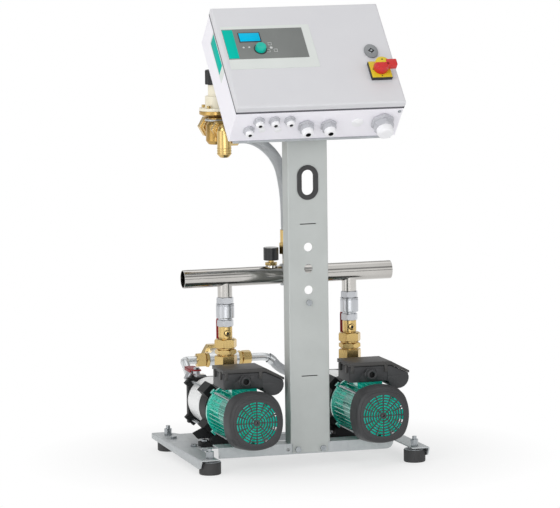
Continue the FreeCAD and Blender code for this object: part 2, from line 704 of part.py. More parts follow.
def side_plate(side_name, side):
    """Sheet plate with a narrow front arm and a folded outer flange."""
    outer = s.foot_x + s.arm_outer
    front = -foot_y - s.arm_front
    rear = foot_y + s.arm_rear
    wide_front = s.riser_y - s.plate_front
    wide_rear = s.riser_y + s.plate_rear
    inward = -side
    arm = (s.arm_outer + s.arm_inner) * inward
    wide = (outer - (s.pump_x - s.plate_reach)) * inward
    shoulder = (s.arm_outer + s.arm_inner + s.plate_slope) * inward
    corner = (s.arm_outer + s.plate_corner) * inward
    body = new_body("side_plate_" + side_name)
    outline = [(0, front), (0, rear), (corner, rear), (shoulder, wide_rear),
               (wide, wide_rear), (wide, wide_front), (arm, wide_front), (arm, front)]
    hole = s.bolt_radius + s.stud_clear
    stud = s.stud_radius + s.stud_clear
    holes = [(s.arm_outer * inward, foot_y, stud), (s.arm_outer * inward, -foot_y, stud),
             ((outer - s.cross_bolt_x) * inward, cross_y, hole),
             ((outer - s.rear_bolt_x) * inward, s.rear_bolt_y, hole),
             ((outer - s.pump_x - s.foot_bolt_x) * inward, foot_bolt_line, hole),
             ((outer - s.pump_x + s.foot_bolt_x) * inward, foot_bolt_line, hole)]
    flat = pad(body, "XY_Plane", "flat_" + side_name, outline, s.plate_sheet, holes)
    top = s.plate_sheet
    edge = [(front, top), (rear, top), (rear, top - s.flange_rear),
            (front + s.flange_slope, top - s.flange_front),
            (front + s.flange_nose, s.plate_sheet * 2 - s.flange_front), (front, -s.plate_sheet)]
    fold = pad(body, "YZ_Plane", "fold_" + side_name, edge, s.plate_sheet, backwards=side > 0)
    round_edges(body, fold, "bend_" + side_name, s.plate_sheet * 0.8,
                lambda p, e: abs(p.x) < 0.01 and abs(p.z - s.plate_sheet.value) < 0.01
                and e.Length > 100)
    put(body, outer * side, 0, plate_low)
    finish(body, "base_side_plate_" + side_name)


def front_rail():
    """Front channel with a long tongue that reaches under both side plates."""
    body = new_body("front_rail")
    corner = s.rail_corner
    low = s.foot_height
    hole = s.bolt_radius + s.stud_clear
    web = [(-s.rail_left, low), (s.rail_right - corner, low, corner),
           (s.rail_right, low + corner), (s.rail_right, s.rail_top), (-s.rail_left, s.rail_top)]
    holes = [(-s.tab_bolt_x, s.tab_bolt_z, hole), (s.tab_bolt_x, s.tab_bolt_z, hole),
             (-s.column_half - s.rail_hole_out, s.tab_bolt_z, s.rail_hole)]
    pad(body, "XZ_Plane", "web", web, s.plate_sheet, holes, backwards=True)
    top = [(-s.rail_left, 0), (s.rail_right, 0), (s.rail_right, s.rail_depth),
           (-s.rail_left, s.rail_depth)]
    pad(body, "XY_Plane", "top_flange", top, s.plate_sheet, rise=s.rail_top - s.plate_sheet)
    strip = cross_y - rail_y
    wide = s.cross_bolt_x + s.strip_end
    half = s.cross_half
    tongue = [(-s.tongue_half, 0), (s.tongue_half, 0), (s.tongue_half, strip - half),
              (wide, strip - half), (wide, strip + half), (-wide, strip + half),
              (-wide, strip - half), (-s.tongue_half, strip - half)]
    line = foot_bolt_line - rail_y
    holes = []
    for side in (-1, 1):
        holes.append((s.cross_bolt_x * side, strip, hole))
        holes.append(((s.pump_x - s.foot_bolt_x) * side, line, hole))
        holes.append(((s.pump_x + s.foot_bolt_x) * side, line, hole))
    pad(body, "XY_Plane", "tongue", tongue, s.plate_sheet, holes, rise=low)
    put(body, 0, rail_y, 0)
    finish(body, "front_cross_rail")


def rear_rail():
    """Rear angle under the side plates."""
    wide = s.rear_bolt_x + s.rear_end
    half = s.rear_half
    low = s.foot_height
    body = new_body("rear_rail")
    hole = s.bolt_radius + s.stud_clear
    flat = [(-wide, -half), (wide, -half), (wide, half), (-wide, half)]
    holes = [(s.rear_bolt_x, 0, hole), (-s.rear_bolt_x, 0, hole)]
    pad(body, "XY_Plane", "rear_flat", flat, s.plate_sheet, holes)
    web = [(-wide, -s.rear_drop), (wide, -s.rear_drop), (wide, s.plate_sheet),
           (-wide, s.plate_sheet)]
    pad(body, "XZ_Plane", "rear_web", web, s.plate_sheet, rise=-half)
    put(body, 0, s.rear_bolt_y, low)
    finish(body, "rear_cross_rail")


def feet():
    """Four rubber feet with a threaded hole underneath, and their studs and nuts."""
    rubber = []
    steel = []
    chamfer = s.foot_edge
    disc_low = s.foot_height - s.disc_thick
    for side_x in (-1, 1):
        for side_y in (-1, 1):
            x = s.foot_x * side_x
            y = foot_y * side_y
            tag = f"{side_x}{side_y}".replace("-", "n")
            section = [(s.foot_hole, 0), (s.foot_radius - chamfer, 0), (s.foot_radius, chamfer),
                       (s.foot_radius, disc_low), (0, disc_low), (0, s.foot_hole_depth),
                       (s.foot_hole, s.foot_hole_depth)]
            rubber.append(turned("rubber_" + tag, section, x, y))
            disc = cylinder("disc_" + tag, s.foot_radius - 1.0, s.disc_thick, x, y, disc_low)
            stud = cylinder("stud_" + tag, s.stud_radius, s.stud_long, x, y, s.foot_height)
            nut = hexagon("nut_" + tag, s.stud_radius * 3.2, s.stud_nut, x, y, plate_top)
            steel.append(fuse("foot_stud_" + tag, disc, stud, nut))
    finish(group("feet", rubber), "rubber_feet")
    return steel


def frame_bolts():
    """Bolts that hold rails, side plates, pump feet and column together."""
    bolts = []
    low = s.foot_height - s.bolt_head

    def upright(tag, x, y, seat):
        head = hexagon("low_" + tag, s.bolt_flats, s.bolt_head, x, y, low)
        shank = cylinder("shank_" + tag, s.bolt_radius, seat - low, x, y, low)
        nut = hexagon("top_" + tag, s.bolt_flats, s.bolt_head, x, y, seat)
        bolts.append(fuse("bolt_" + tag, head, shank, nut))

    for name, side in SIDES:
        upright("cross_" + name, s.cross_bolt_x * side, cross_y, plate_top)
        upright("rear_" + name, s.rear_bolt_x * side, s.rear_bolt_y, plate_top)
        seat = plate_top + s.foot_flange
        upright("outer_" + name, (s.pump_x + s.foot_bolt_x) * side, foot_bolt_line, seat)
        upright("inner_" + name, (s.pump_x - s.foot_bolt_x) * side, foot_bolt_line, seat)
        x = s.tab_bolt_x * side
        long = s.bolt_head + s.column_sheet + s.plate_sheet
        start = s.front_y - s.bolt_head
        head = hexagon("tab_head_" + name, s.bolt_flats, s.bolt_head, x, start, s.tab_bolt_z, "y")
        shank = cylinder("tab_shank_" + name, s.bolt_radius, long, x, start, s.tab_bolt_z, "y")
        nut = hexagon("tab_nut_" + name, s.bolt_flats, s.bolt_head,
                      x, rail_y + s.plate_sheet, s.tab_bolt_z, "y")
        bolts.append(fuse("tab_bolt_" + name, head, shank, nut))
    start = s.front_y - s.bolt_head
    long = s.bolt_head + s.column_sheet + s.clamp_wall
    head = hexagon("clamp_head", s.bolt_flats, s.bolt_head, 0, start, s.clamp_bolt_z, "y")
    shank = cylinder("clamp_shank", s.bolt_radius, long, 0, start, s.clamp_bolt_z, "y")
    nut = hexagon("clamp_nut", s.bolt_flats, s.bolt_head, 0,
                  rail_y + s.clamp_wall, s.clamp_bolt_z, "y")
    bolts.append(fuse("clamp_bolt", head, shank, nut))
    return bolts


# column

def column():
    """Folded channel with an open back, its top cut to the lean of the cabinet."""
    body = new_body("column_body")
    half = s.column_half
    wall = s.column_sheet
    deep = s.column_depth
    lip = s.column_lip
    section = [(-half, 0), (half, 0), (half, deep), (half - lip, deep), (half - lip, deep - wall),
               (half - wall, deep - wall), (half - wall, wall), (-half + wall, wall),
               (-half + wall, deep - wall), (-half + lip, deep - wall), (-half + lip, deep),
               (-half, deep)]
    top = s.cab_z + s.column_depth + 60.0
    channel = pad(body, "XY_Plane", "channel", section, top - s.rail_top, rise=s.rail_top)
    round_edges(body, channel, "column_bend", wall * 0.8,
                lambda p, e: abs(p.y) < 0.01 and abs(abs(p.x) - half.value) < 0.01
                and e.Length > 100)
    tab = [(-s.tab_half, plate_low), (s.tab_half, plate_low), (s.tab_half, s.rail_top + 1.0),
           (-s.tab_half, s.rail_top + 1.0)]
    hole = s.bolt_radius + s.stud_clear
    holes = [(-s.tab_bolt_x, s.tab_bolt_z, hole), (s.tab_bolt_x, s.tab_bolt_z, hole)]
    pad(body, "XZ_Plane", "tab", tab, wall, holes, backwards=True)
    put(body, 0, s.front_y, 0)
    tools = []
    saw = block("saw", -s.cab_half, s.cab_half, -s.cab_depth * 3, s.bracket_sheet,
                -s.cab_depth, s.cab_height)
    tools.append(lean_box(lean(saw), -s.cab_depth * 3, -s.cab_depth, -s.cab_half))
    front = s.front_y - 1.0
    through = wall + 2.0
    for step in range(3):
        z = s.hole_top_z - s.hole_pitch * step
        tools.append(cylinder(f"hole_{step}", s.hole_radius, through, 0, front, z, "y"))
    tools.append(cylinder("clamp_hole", s.bolt_radius + s.stud_clear, through,
                          0, front, s.clamp_bolt_z, "y"))
    for name, z in (("slit_up", s.slit_high_z), ("slit_down", s.slit_low_z)):
        tools.append(block(name, -s.slit_half, s.slit_half, front, front + through,
                           z - s.slit_high / 2, z + s.slit_high / 2))
    tools.append(oval("grip", s.grip_half_width, s.grip_half_height, through, front, s.grip_z))
    finish(cut("column_cut", body, *tools), "column")


def lean_box(item, y, z, x):
    """Place a box whose low corner is at x, y, z in the cabinet's upright frame."""
    # the lean turns local y into (cos, -sin) and local z into (sin, cos) of (Y, Z)
    ways = lean_ways()
    bind(item, "Placement.Base.x", x)
    bind(item, "Placement.Base.y", s.cab_y + ways[0] * y + ways[1] * z)
    bind(item, "Placement.Base.z", s.cab_z - ways[1] * y + ways[0] * z)
    return item


def lean_ways():
    angle = math.radians(s.tilt.value)
    cosine = Size("cos(Sizes.tilt * 1 deg)", math.cos(angle))
    sine = Size("sin(Sizes.tilt * 1 deg)", math.sin(angle))
    return cosine, sine


def grip_trim():
    """Rubber trim that lines the oval hole."""
    wide = s.grip_half_width
    high = s.grip_half_height
    face = oval("trim_face", wide + s.trim_out, high + s.trim_out, s.trim_thick,
                s.front_y - s.trim_thick, s.grip_z)
    sleeve = oval("trim_sleeve", wide, high, s.column_sheet + s.trim_thick,
                  s.front_y - s.trim_thick, s.grip_z)
    back = oval("trim_back", wide + s.trim_out, high + s.trim_out, s.trim_thick,
                s.front_y + s.column_sheet, s.grip_z)
    window = oval("trim_window", wide - s.trim_in, high - s.trim_in,
                  s.column_sheet + s.trim_thick * 2, s.front_y - s.trim_thick, s.grip_z)
    solid = fuse("trim_solid", face, sleeve, back)
    finish(cut("trim", solid, window), "column_grommet")


# manifold, gauge and risers

def manifold():
    """Cross pipe with two branch stubs, a gauge boss and a hose stub."""
    half = s.manifold_long / 2
    z = s.manifold_z
    y = s.riser_y
    bore = s.manifold_radius - s.pipe_wall
    outside = [cylinder("header", s.manifold_radius, s.manifold_long, -half, y, z, "x")]
    inside = [cylinder("header_bore", bore, s.manifold_long, -half, y, z, "x")]
    for name, side in SIDES:
        x = s.pump_x * side
        outside.append(cylinder("stub_" + name, s.stub_radius, z - check_end, x, y, check_end))
        inside.append(cylinder("stub_bore_" + name, s.stub_bore, z - check_end, x, y, check_end))
    top = s.hose_stub_z
    outside.append(cylinder("hose_stub", s.hose_stub_radius, top - z, 0, y, z))
    inside.append(cylinder("hose_bore", s.hose_stub_radius - s.pipe_wall, top - z, 0, y, z))
    boss = s.gauge_boss_z
    outside.append(cylinder("gauge_boss", s.gauge_hex / 2, boss - z, s.gauge_x, y, z))
    inside.append(cylinder("gauge_bore", s.gauge_hex / 6, boss - z, s.gauge_x, y, z))
    finish(cut("manifold", fuse("manifold_outside", *outside), *inside), "manifold_pipe")


def manifold_clamp():
    """Strap on the column that runs out of its open back and rings the manifold."""
    y = s.riser_y
    z = s.manifold_z
    half = s.clamp_half
    wall = s.clamp_wall
    outer = s.manifold_radius + wall
    back = rail_y + wall
    plate = block("clamp_plate", -half, half, rail_y, back, s.clamp_bolt_z - half, z)
    arm = block("clamp_arm", -half, half, back, y, z - wall * 2, z)
    band = cylinder("clamp_band", outer, half * 2, -half, y, z, "x")
    pipe = cylinder("clamp_pipe", s.manifold_radius + s.running_fit, half * 4, -half * 2, y, z, "x")
    hole = cylinder("clamp_bolt_hole", s.bolt_radius + s.stud_clear, wall * 2,
                    0, rail_y - wall / 2, s.clamp_bolt_z, "y")
    room = cylinder("clamp_stub_room", s.hose_stub_radius + s.running_fit, outer * 2, 0, y, z)
    holder = cut("clamp_holder", fuse("clamp_solid", arm, band), pipe, room)
    finish(group("clamp", [cut("clamp_foot", plate, hole), holder]), "manifold_clamp")


def gauge():
    """Pressure gauge with its dial upwards: brass adapter, case and needle."""
    x = s.gauge_x
    y = s.riser_y
    neck = s.gauge_boss_z + s.gauge_hex_high
    case = neck + s.gauge_neck_high
    nut = hexagon("gauge_nut", s.gauge_hex, s.gauge_hex_high, x, y, s.gauge_boss_z)
    stem = cylinder("gauge_stem", s.gauge_hex / 4, s.gauge_neck_high, x, y, neck)
    finish(fuse("socket", nut, stem), "gauge_socket")
    rim = s.gauge_radius
    well = rim - s.pipe_wall
    pivot = s.pipe_wall / 2
    seat = s.gauge_high + s.bezel_high / 4
    lip = s.gauge_high + s.bezel_high
    section = [(0, 0), (rim, 0), (rim, lip), (well, lip), (well, s.gauge_high),
               (pivot, s.gauge_high), (pivot, seat), (0, seat)]
    finish(turned("case", section, x, y, case), "gauge_case")
    low = case + seat
    hub = hexagon("needle_hub", pivot * 4, pivot, x, y, low)
    tip = block("needle_tip", x - pivot / 2, x + pivot / 2, y - s.needle_long,
                y + s.needle_long / 3, low, low + pivot)
    finish(fuse("needle", hub, tip), "gauge_needle")


def ball_valve(name, flats, long, body_radius, bore, plug, neck):
    """Quarter-turn valve, its flow along Z and its stem along Y, and its turning plug."""
    fit = s.running_fit
    half = long / 2
    low = hexagon(name + "_low", flats, long * 0.22, 0, 0, -half)
    middle = cylinder(name + "_middle", body_radius, long * 0.8, 0, 0, -half)
    high = hexagon(name + "_high", flats, long * 0.3, 0, 0, half - long * 0.3)
    gland = cylinder(name + "_gland", s.stem_radius * 1.8, neck, along="y")
    way = cylinder(name + "_way", bore, long, 0, 0, -half)
    room = cylinder(name + "_room", plug + fit, plug * 2, 0, -plug, 0, "y")
    stem_room = cylinder(name + "_stem_room", s.stem_radius + fit, neck, along="y")
    outside = fuse(name + "_outside", low, middle, high, gland)
    body = cut(name + "_body", outside, way, room, stem_room)
    drum = cylinder(name + "_drum", plug, plug * 2 - fit * 2, 0, fit - plug, 0, "y")
    stem = cylinder(name + "_stem", s.stem_radius, neck + s.lever_thick, along="y")
    port = cylinder(name + "_port", bore, plug * 2, 0, 0, -plug)
    turning = cut(name + "_turning", fuse(name + "_drum_stem", drum, stem), port)
    return body, turning


def lever(name, neck, reach):
    """Sheet lever that stands up from a stem along Y, with the nut that holds it."""
    half = s.lever_wide / 2
    hub = half * 0.9
    round_top = half * 1.001
    body = new_body(name + "_lever")
    outline = [(hub, -hub), (hub, reach * 0.2), (half, reach * 0.34), (half, reach - half, round_top),
               (-half, reach - half), (-half, reach * 0.34), (-hub, reach * 0.2), (-hub, -hub)]
    hole = (0, 0, s.stem_radius + s.running_fit)
    pad(body, "XZ_Plane", name + "_sheet", outline, s.lever_thick, [hole], backwards=True)
    put(body, 0, neck, 0)
    nut = hexagon(name + "_nut", s.stem_radius * 3.2, s.lever_thick, 0, neck + s.lever_thick, 0, "y")
    return body, nut


def discharge_valves():
    """Valves on the discharge ports, with their levers behind them."""
    bodies = []
    z = s.port_top + s.valve_long / 2
    neck = s.lever_back - s.lever_thick
    for name, side in SIDES:
        tag = "out_" + name
        x = s.pump_x * side
        body, turning = ball_valve(tag, s.valve_flats, s.valve_long, s.valve_body_radius,
                                   s.valve_bore, s.plug_radius, neck)
        handle = group(tag + "_handle", [turning, *lever(tag, neck, s.lever_long)])
        bodies.append(put(body, x, s.riser_y, z))
        finish(put(handle, x, s.riser_y, z), "discharge_lever_" + name)
    finish(group("discharge_bodies", bodies), "discharge_valves")


def risers():
    """Union and check valve of each riser."""
    unions = []
    checks = []
    y = s.riser_y
    sleeve = s.tail_radius - 1.5
    for name, side in SIDES:
        x = s.pump_x * side
        foot = hexagon("tail_foot_" + name, s.tail_flats, s.tail_hex_high, x, y, tail_low)
        pipe = cylinder("tail_pipe_" + name, sleeve, s.nut_high, x, y, union_low)
        neck = cylinder("tail_neck_" + name, s.tail_radius, s.tail_high, x, y, tail_neck)
        plug = hexagon("tail_plug_" + name, s.bolt_flats, s.tail_radius + 4.0, x, y,
                       tail_neck + s.tail_high / 2, "-y")
        bore = cylinder("tail_bore_" + name, s.valve_bore, check_z - tail_low, x, y, tail_low)
        tail = fuse("tail_solid_" + name, foot, pipe, neck, plug)
        unions.append(cut("tail_" + name, tail, bore))
        nut = hexagon("union_hex_" + name, s.valve_flats, s.nut_high, x, y, union_low)
        nut_bore = cylinder("union_bore_" + name, sleeve + s.running_fit, s.nut_high,
                            x, y, union_low)
        unions.append(cut("union_" + name, nut, nut_bore))
        low = hexagon("check_low_" + name, s.check_flats, s.check_low, x, y, check_z)
        core = cylinder("check_core_" + name, s.check_flats / 2 - 1.0, s.check_groove,
                        x, y, check_z + s.check_low)
        barrel = cylinder("check_barrel_" + name, s.check_radius, s.check_high,
                          x, y, check_barrel)
        top = hexagon("check_top_" + name, s.check_flats, s.check_top, x, y, check_hex)
        solid = fuse("check_solid_" + name, low, core, barrel, top)
        way = cylinder("check_bore_" + name, s.valve_bore, check_end - check_z, x, y, check_z)
        checks.append(cut("check_" + name, solid, way))
    finish(group("unions", unions), "riser_unions")
    finish(group("checks", checks), "check_valves")


# pumps

def rounded_square(half, corner):
    """The outline of a square with round corners, run anticlockwise."""
    reach = half - corner
    return [(half, -reach), (half, reach, corner), (reach, half), (-reach, half, corner),
            (-half, reach), (-half, -reach, corner), (-reach, -half), (reach, -half, corner)]


def fan_cover(name, side):
    """Rounded square cover, its front a grille of rings of slots between eight spokes."""
    tag = "cover_" + name
    wall = s.cover_wall
    slope = (s.cover_half - s.cover_front_half) / s.cover_deep
    taper = f"atan({slope.text})"
    body = new_body(tag)
    outline = rounded_square(s.cover_front_half, s.cover_corner)
    shell = pad(body, "XZ_Plane", tag + "_shell", outline, s.cover_deep, backwards=True)
    shell.setExpression("TaperAngle", taper)
    inner = rounded_square(s.cover_front_half - wall, s.cover_corner - wall)
    hollow = pocket(body, "XZ_Plane", tag + "_hollow", [inner], s.cover_deep, -wall, False)
    hollow.setExpression("TaperAngle", taper)
    edge = s.grille_spoke / 2
    sine = math.sin(math.pi / 8)
    cosine = math.cos(math.pi / 8)
    slots = []
    for step in range(int(s.grille_rings.value)):
        corners = []
        for reach in (s.grille_inner + s.grille_pitch * step,
                      s.grille_inner + s.grille_pitch * step + s.grille_slot):
            bowed = reach * s.grille_bow
            corners.append([(edge, reach), (bowed * sine, bowed * cosine),
                            ((reach - edge) / ROOT_2, (reach + edge) / ROOT_2)])
        slots.append(corners[0] + corners[1][::-1])
    eighth = pocket(body, "XZ_Plane", tag + "_slots", slots, wall * 2, 0, False)
    polar(body, eighth, tag + "_rings", 8)
    middle = cylinder(tag + "_hole", s.grille_hole, wall * 3, 0, -wall, 0, "y")
    return put(cut(tag + "_done", body, middle), s.pump_x * side, s.cover_front, s.shaft_z)


def pocket(body, role, name, outlines, length, rise, backwards):
    sketch = sketch_on(body, role, name + "_outline", rise)
    for outline in outlines:
        draw_outline(sketch, outline)
    feature = body.newObject("PartDesign::Pocket", name)
    feature.Profile = sketch
    bind(feature, "Length", length)
    feature.Reversed = backwards
    return feature


def fan(name, side):
    """Hub with flat radial blades on a back plate, and no round rim."""
    tag = "fan_" + name
    body = new_body(tag)
    hub = hexagon_outline(s.shaft_radius * 3.2)
    hole = [(0, 0, s.shaft_radius)]
    pad(body, "XZ_Plane", tag + "_hub", hub, s.fan_wide, hole, backwards=True)
    blade = [(s.shaft_radius * 1.3, -1.0), (s.fan_radius, -1.0), (s.fan_radius, 1.0),
             (s.shaft_radius * 1.3, 1.0)]
    feature = pad(body, "XZ_Plane", tag + "_blade", blade, s.fan_wide, backwards=True)
    polar(body, feature, tag + "_blades", s.fan_blades)
    return put(body, s.pump_x * side, fan_y, s.shaft_z)


def hexagon_outline(flats):
    radius = flats / ROOT_3
    points = []
    for step in range(6):
        angle = math.pi / 3 * step
        points.append((radius * math.cos(angle), radius * math.sin(angle)))
    return points


def motor_frame(name, side):
    """Finned motor frame with the seat of its terminal box, open at both ends."""
    tag = "motor_" + name
    body = new_body(tag)
    sketch = sketch_on(body, "XZ_Plane", tag + "_round")
    draw_circle(sketch, 0, 0, s.motor_radius)
    tube = body.newObject("PartDesign::Pad", tag + "_tube")
    tube.Profile = sketch
    bind(tube, "Length", s.motor_long)
    tube.Reversed = True
    half = s.fin_thick / 2
    root = s.motor_radius - 2.0
    fin = [(root, -half), (s.fin_radius, -half), (s.fin_radius, half), (root, half)]
    feature = pad(body, "XZ_Plane", tag + "_fin", fin, s.motor_long, backwards=True)
    polar(body, feature, tag + "_fins", s.fin_count)
    seat = block(tag + "_seat", -s.seat_half, s.seat_half, s.seat_front, s.seat_front + s.seat_deep,
                 0, s.box_low)
    bore = cylinder(tag + "_bore", s.stator_radius, s.motor_long * 2, 0, -s.motor_long / 2, 0, "y")
    frame = cut(tag + "_frame", fuse(tag + "_solid", body, seat), bore)
    return put(frame, s.pump_x * side, motor_y, s.shaft_z)


def shields(name, side):
    """End shields of the motor, their four ears on the motor bolts."""
    pieces = []
    places = (("front", motor_y - s.shield_thick, s.motor_radius), ("rear", lantern_y, s.ring_radius))
    for end, y, radius in places:
        tag = f"shield_{end}_{name}"
        disc = cylinder(tag + "_disc", radius, s.shield_thick, along="y")
        parts = [disc]
        reach = s.motor_rod_circle + s.motor_rod_radius * 2
        for number in range(2):
            bar = block(f"{tag}_bar_{number}", -reach, reach, 0, s.shield_thick,
                        -s.motor_rod_radius * 2.4, s.motor_rod_radius * 2.4)
            bar.Placement.Rotation = FreeCAD.Rotation(Vector(0, 1, 0), 45 + 90 * number)
            turn = math.radians(45 + 90 * number)
            low = s.motor_rod_radius * 2.4
            bind(bar, "Placement.Base.x", -reach * math.cos(turn) - low * math.sin(turn))
            bind(bar, "Placement.Base.z", reach * math.sin(turn) - low * math.cos(turn))
            parts.append(bar)
        if end == "front":
            slope = (s.cover_half - s.cover_front_half) / s.cover_deep
            room = s.cover_deep - s.shield_thick
            seat = s.cover_front_half - s.cover_wall + slope * (room - s.cover_wall) - s.seat_gap
            half = s.motor_rod_radius * 2.4
            parts.append(block(tag + "_across", -seat, seat, 0, s.shield_thick, -half, half))
            parts.append(block(tag + "_upright", -half, half, 0, s.shield_thick, -seat, seat))
        solid = fuse(tag + "_bossed", *parts)
        hole = cylinder(tag + "_hole", s.bearing_radius + s.running_fit, s.shield_thick, along="y")
        tools = [hole]
        if end == "front":
            tools += rod_tools(tag, s.motor_rod_circle, s.motor_rod_radius + s.running_fit)
        pieces.append(put(cut(tag, solid, *tools), s.pump_x * side, y, s.shaft_z))
    return pieces


def rod_tools(tag, circle, radius, y=0, long=400.0):
    """Four cylinders along Y at 45 degrees round the axis."""
    tools = []
    offset = circle / ROOT_2
    for number, (across, up) in enumerate(((1, 1), (1, -1), (-1, -1), (-1, 1))):
        tools.append(cylinder(f"{tag}_rod_{number}", radius, long,
                              offset * across, y, offset * up, "y"))
    return tools


def rods(name, side):
    """Motor bolts with their heads, and tie rods with their nuts."""
    pieces = []
    start = motor_y - s.shield_thick
    long = s.shield_thick + s.motor_long
    bolts = rod_tools("motor_bolt_" + name, s.motor_rod_circle, s.motor_rod_radius, start, long)
    for number, rod in enumerate(bolts):
        put(rod, s.pump_x * side + rod_x(s.motor_rod_circle, number), start,
            s.shaft_z + rod_z(s.motor_rod_circle, number), "y")
        head = hexagon(f"motor_head_{name}_{number}", s.motor_rod_radius * 3.4,
                       s.motor_rod_radius * 1.5, 0, 0, 0, "y")
        put(head, s.pump_x * side + rod_x(s.motor_rod_circle, number),
            start - s.motor_rod_radius * 1.5,
            s.shaft_z + rod_z(s.motor_rod_circle, number), "y")
        pieces.append(fuse(f"motor_bolt_solid_{name}_{number}", rod, head))
    start = casing_y - s.rod_thread
    long = s.rod_thread + s.casing_long + s.end_thick
    ties = rod_tools("tie_" + name, s.rod_circle, s.rod_radius, start, long)
    for number, rod in enumerate(ties):
        x = s.pump_x * side + rod_x(s.rod_circle, number)
        z = s.shaft_z + rod_z(s.rod_circle, number)
        put(rod, x, start, z, "y")
        nut = hexagon(f"tie_nut_{name}_{number}", s.rod_radius * 3.4, s.rod_radius * 1.8,
                      x, end_y + s.end_thick, z, "y")
        pieces.append(fuse(f"tie_solid_{name}_{number}", rod, nut))
    return pieces


def rod_x(circle, number):
    return circle / ROOT_2 * (1, 1, -1, -1)[number]


def rod_z(circle, number):
    return circle / ROOT_2 * (1, -1, -1, 1)[number]


def lug_cross(tag, deep, y, reach, half):
    """Two crossed bars at 45 degrees, whose ends are the four lugs of a casting."""
    bars = []
    for number in range(2):
        bar = block(f"{tag}_lug_{number}", -reach, reach, 0, deep, -half, half)
        turn = math.radians(45 + 90 * number)
        bar.Placement.Rotation = FreeCAD.Rotation(Vector(0, 1, 0), 45 + 90 * number)
        bind(bar, "Placement.Base.x", -reach * math.cos(turn) - half * math.sin(turn))
        bind(bar, "Placement.Base.z", reach * math.sin(turn) - half * math.cos(turn))
        bind(bar, "Placement.Base.y", y)
        bars.append(bar)
    return bars


def lantern(name, side):
    """Cast lantern and discharge chamber with four lugs and the port on top."""
    tag = "lantern_" + name
    long = casing_y - ring_end
    flange = 8.0
    chamber = long - s.lug_long
    section = [(s.shaft_radius * 1.8, 0), (s.lantern_radius, 0), (s.lantern_radius, flange),
               (s.lantern_waist, flange), (s.lantern_waist, chamber),
               (s.lantern_radius, chamber), (s.lantern_radius, long),
               (s.casing_radius - s.casing_wall * 3, long),
               (s.casing_radius - s.casing_wall * 3, chamber + flange),
               (s.shaft_radius * 1.8, chamber + flange)]
    casting = turned(tag + "_casting", section, along="y")
    lugs = lug_cross(tag, s.lug_long, chamber, s.lug_reach, s.lug_wide / 2)
    room = cylinder(tag + "_room", s.casing_radius - s.casing_wall * 3, long - chamber - flange,
                    0, chamber + flange, 0, "y")
    core = cylinder(tag + "_core", s.shaft_radius * 1.8, long, along="y")
    port = cylinder(tag + "_port", s.port_radius, s.port_top - s.shaft_z, 0, s.riser_y - ring_end, 0)
    bore = cylinder(tag + "_bore", s.valve_bore, s.port_top - s.shaft_z, 0, s.riser_y - ring_end, 0)
    threads = rod_tools(tag, s.rod_circle, s.rod_radius + s.running_fit, long - s.rod_thread,
                        s.rod_thread)
    solid = fuse(tag + "_solid", casting, port, *lugs)
    return put(cut(tag, solid, room, core, bore, *threads), s.pump_x * side, ring_end, s.shaft_z)


def stage_casing(name, side):
    """Ringed sleeve of the pump stages."""
    radius = s.casing_radius
    groove = s.casing_groove
    pitch = s.casing_long / s.stages
    section = [(radius - s.casing_wall * 2, 0), (radius, 0)]
    for step in range(1, int(s.stages.value)):
        middle = pitch * step
        section += [(radius, middle - groove), (radius - groove, middle), (radius, middle + groove)]
    section += [(radius, s.casing_long), (radius - s.casing_wall * 2, s.casing_long)]
    return turned("casing_" + name, section, s.pump_x * side, casing_y, s.shaft_z, "y")


def suction_cover(name, side):
    """Flat cast cover with four lugs and the suction port above the shaft."""
    tag = "end_" + name
    thick = s.end_thick
    half = s.end_half
    plate = block(tag + "_plate", -half, half, 0, thick, -half, half)
    lugs = lug_cross(tag, thick, 0, s.lug_reach, s.lug_wide / 2)
    boss = cylinder(tag + "_boss", s.suction_radius, thick + s.suction_boss, 0, 0, s.suction_rise, "y")
    bore = cylinder(tag + "_bore", s.suction_bore, (thick + s.suction_boss) * 2,
                    0, -thick, s.suction_rise, "y")
    holes = rod_tools(tag, s.rod_circle, s.rod_radius + s.running_fit, -thick, thick * 3)
    solid = fuse(tag + "_solid", plate, boss, *lugs)
    return put(cut(tag, solid, bore, *holes), s.pump_x * side, end_y, s.shaft_z)


def drum(name, radius, deep, y):
    """Plain many-sided drum about the shaft, inside a closed housing."""
    item = doc.addObject("Part::Prism", name)
    item.Polygon = 20
    bind(item, "Circumradius", radius)
    bind(item, "Height", deep)
    return put(item, 0, y, 0, "y")


def shaft(name, side):
    """Shaft with the rotor core of the motor and the impellers."""
    tag = "shaft_" + name
    start = fan_y
    long = end_y - 5.0 - start
    bar = cylinder(tag + "_bar", s.shaft_radius, long, along="y")
    core_y = motor_y + s.shaft_gap - start
    core = drum(tag + "_core", s.rotor_radius, s.motor_long - s.shaft_gap * 2, core_y)
    pieces = [bar, core]
    pitch = s.casing_long / s.stages
    for step in range(int(s.stages.value)):
        y = casing_y + pitch * (step + 0.5) - s.impeller_thick / 2 - start
        pieces.append(drum(f"{tag}_impeller_{step}", s.impeller_radius, s.impeller_thick, y))
    return put(fuse(tag, *pieces), s.pump_x * side, start, s.shaft_z)


def bearings(name, side):
    """Two ball bearings of the motor, as plain rings."""
    places = (("front", motor_y - s.shield_thick), ("rear", lantern_y - s.bearing_wide + s.shield_thick))
    pieces = []
    for end, y in places:
        tag = f"bearing_{end}_{name}"
        outer = cylinder(tag + "_outer", s.bearing_radius, s.bearing_wide, along="y")
        inner = cylinder(tag + "_inner", s.shaft_radius + s.running_fit, s.bearing_wide, along="y")
        pieces.append(put(cut(tag, outer, inner), s.pump_x * side, y, s.shaft_z))
    return pieces


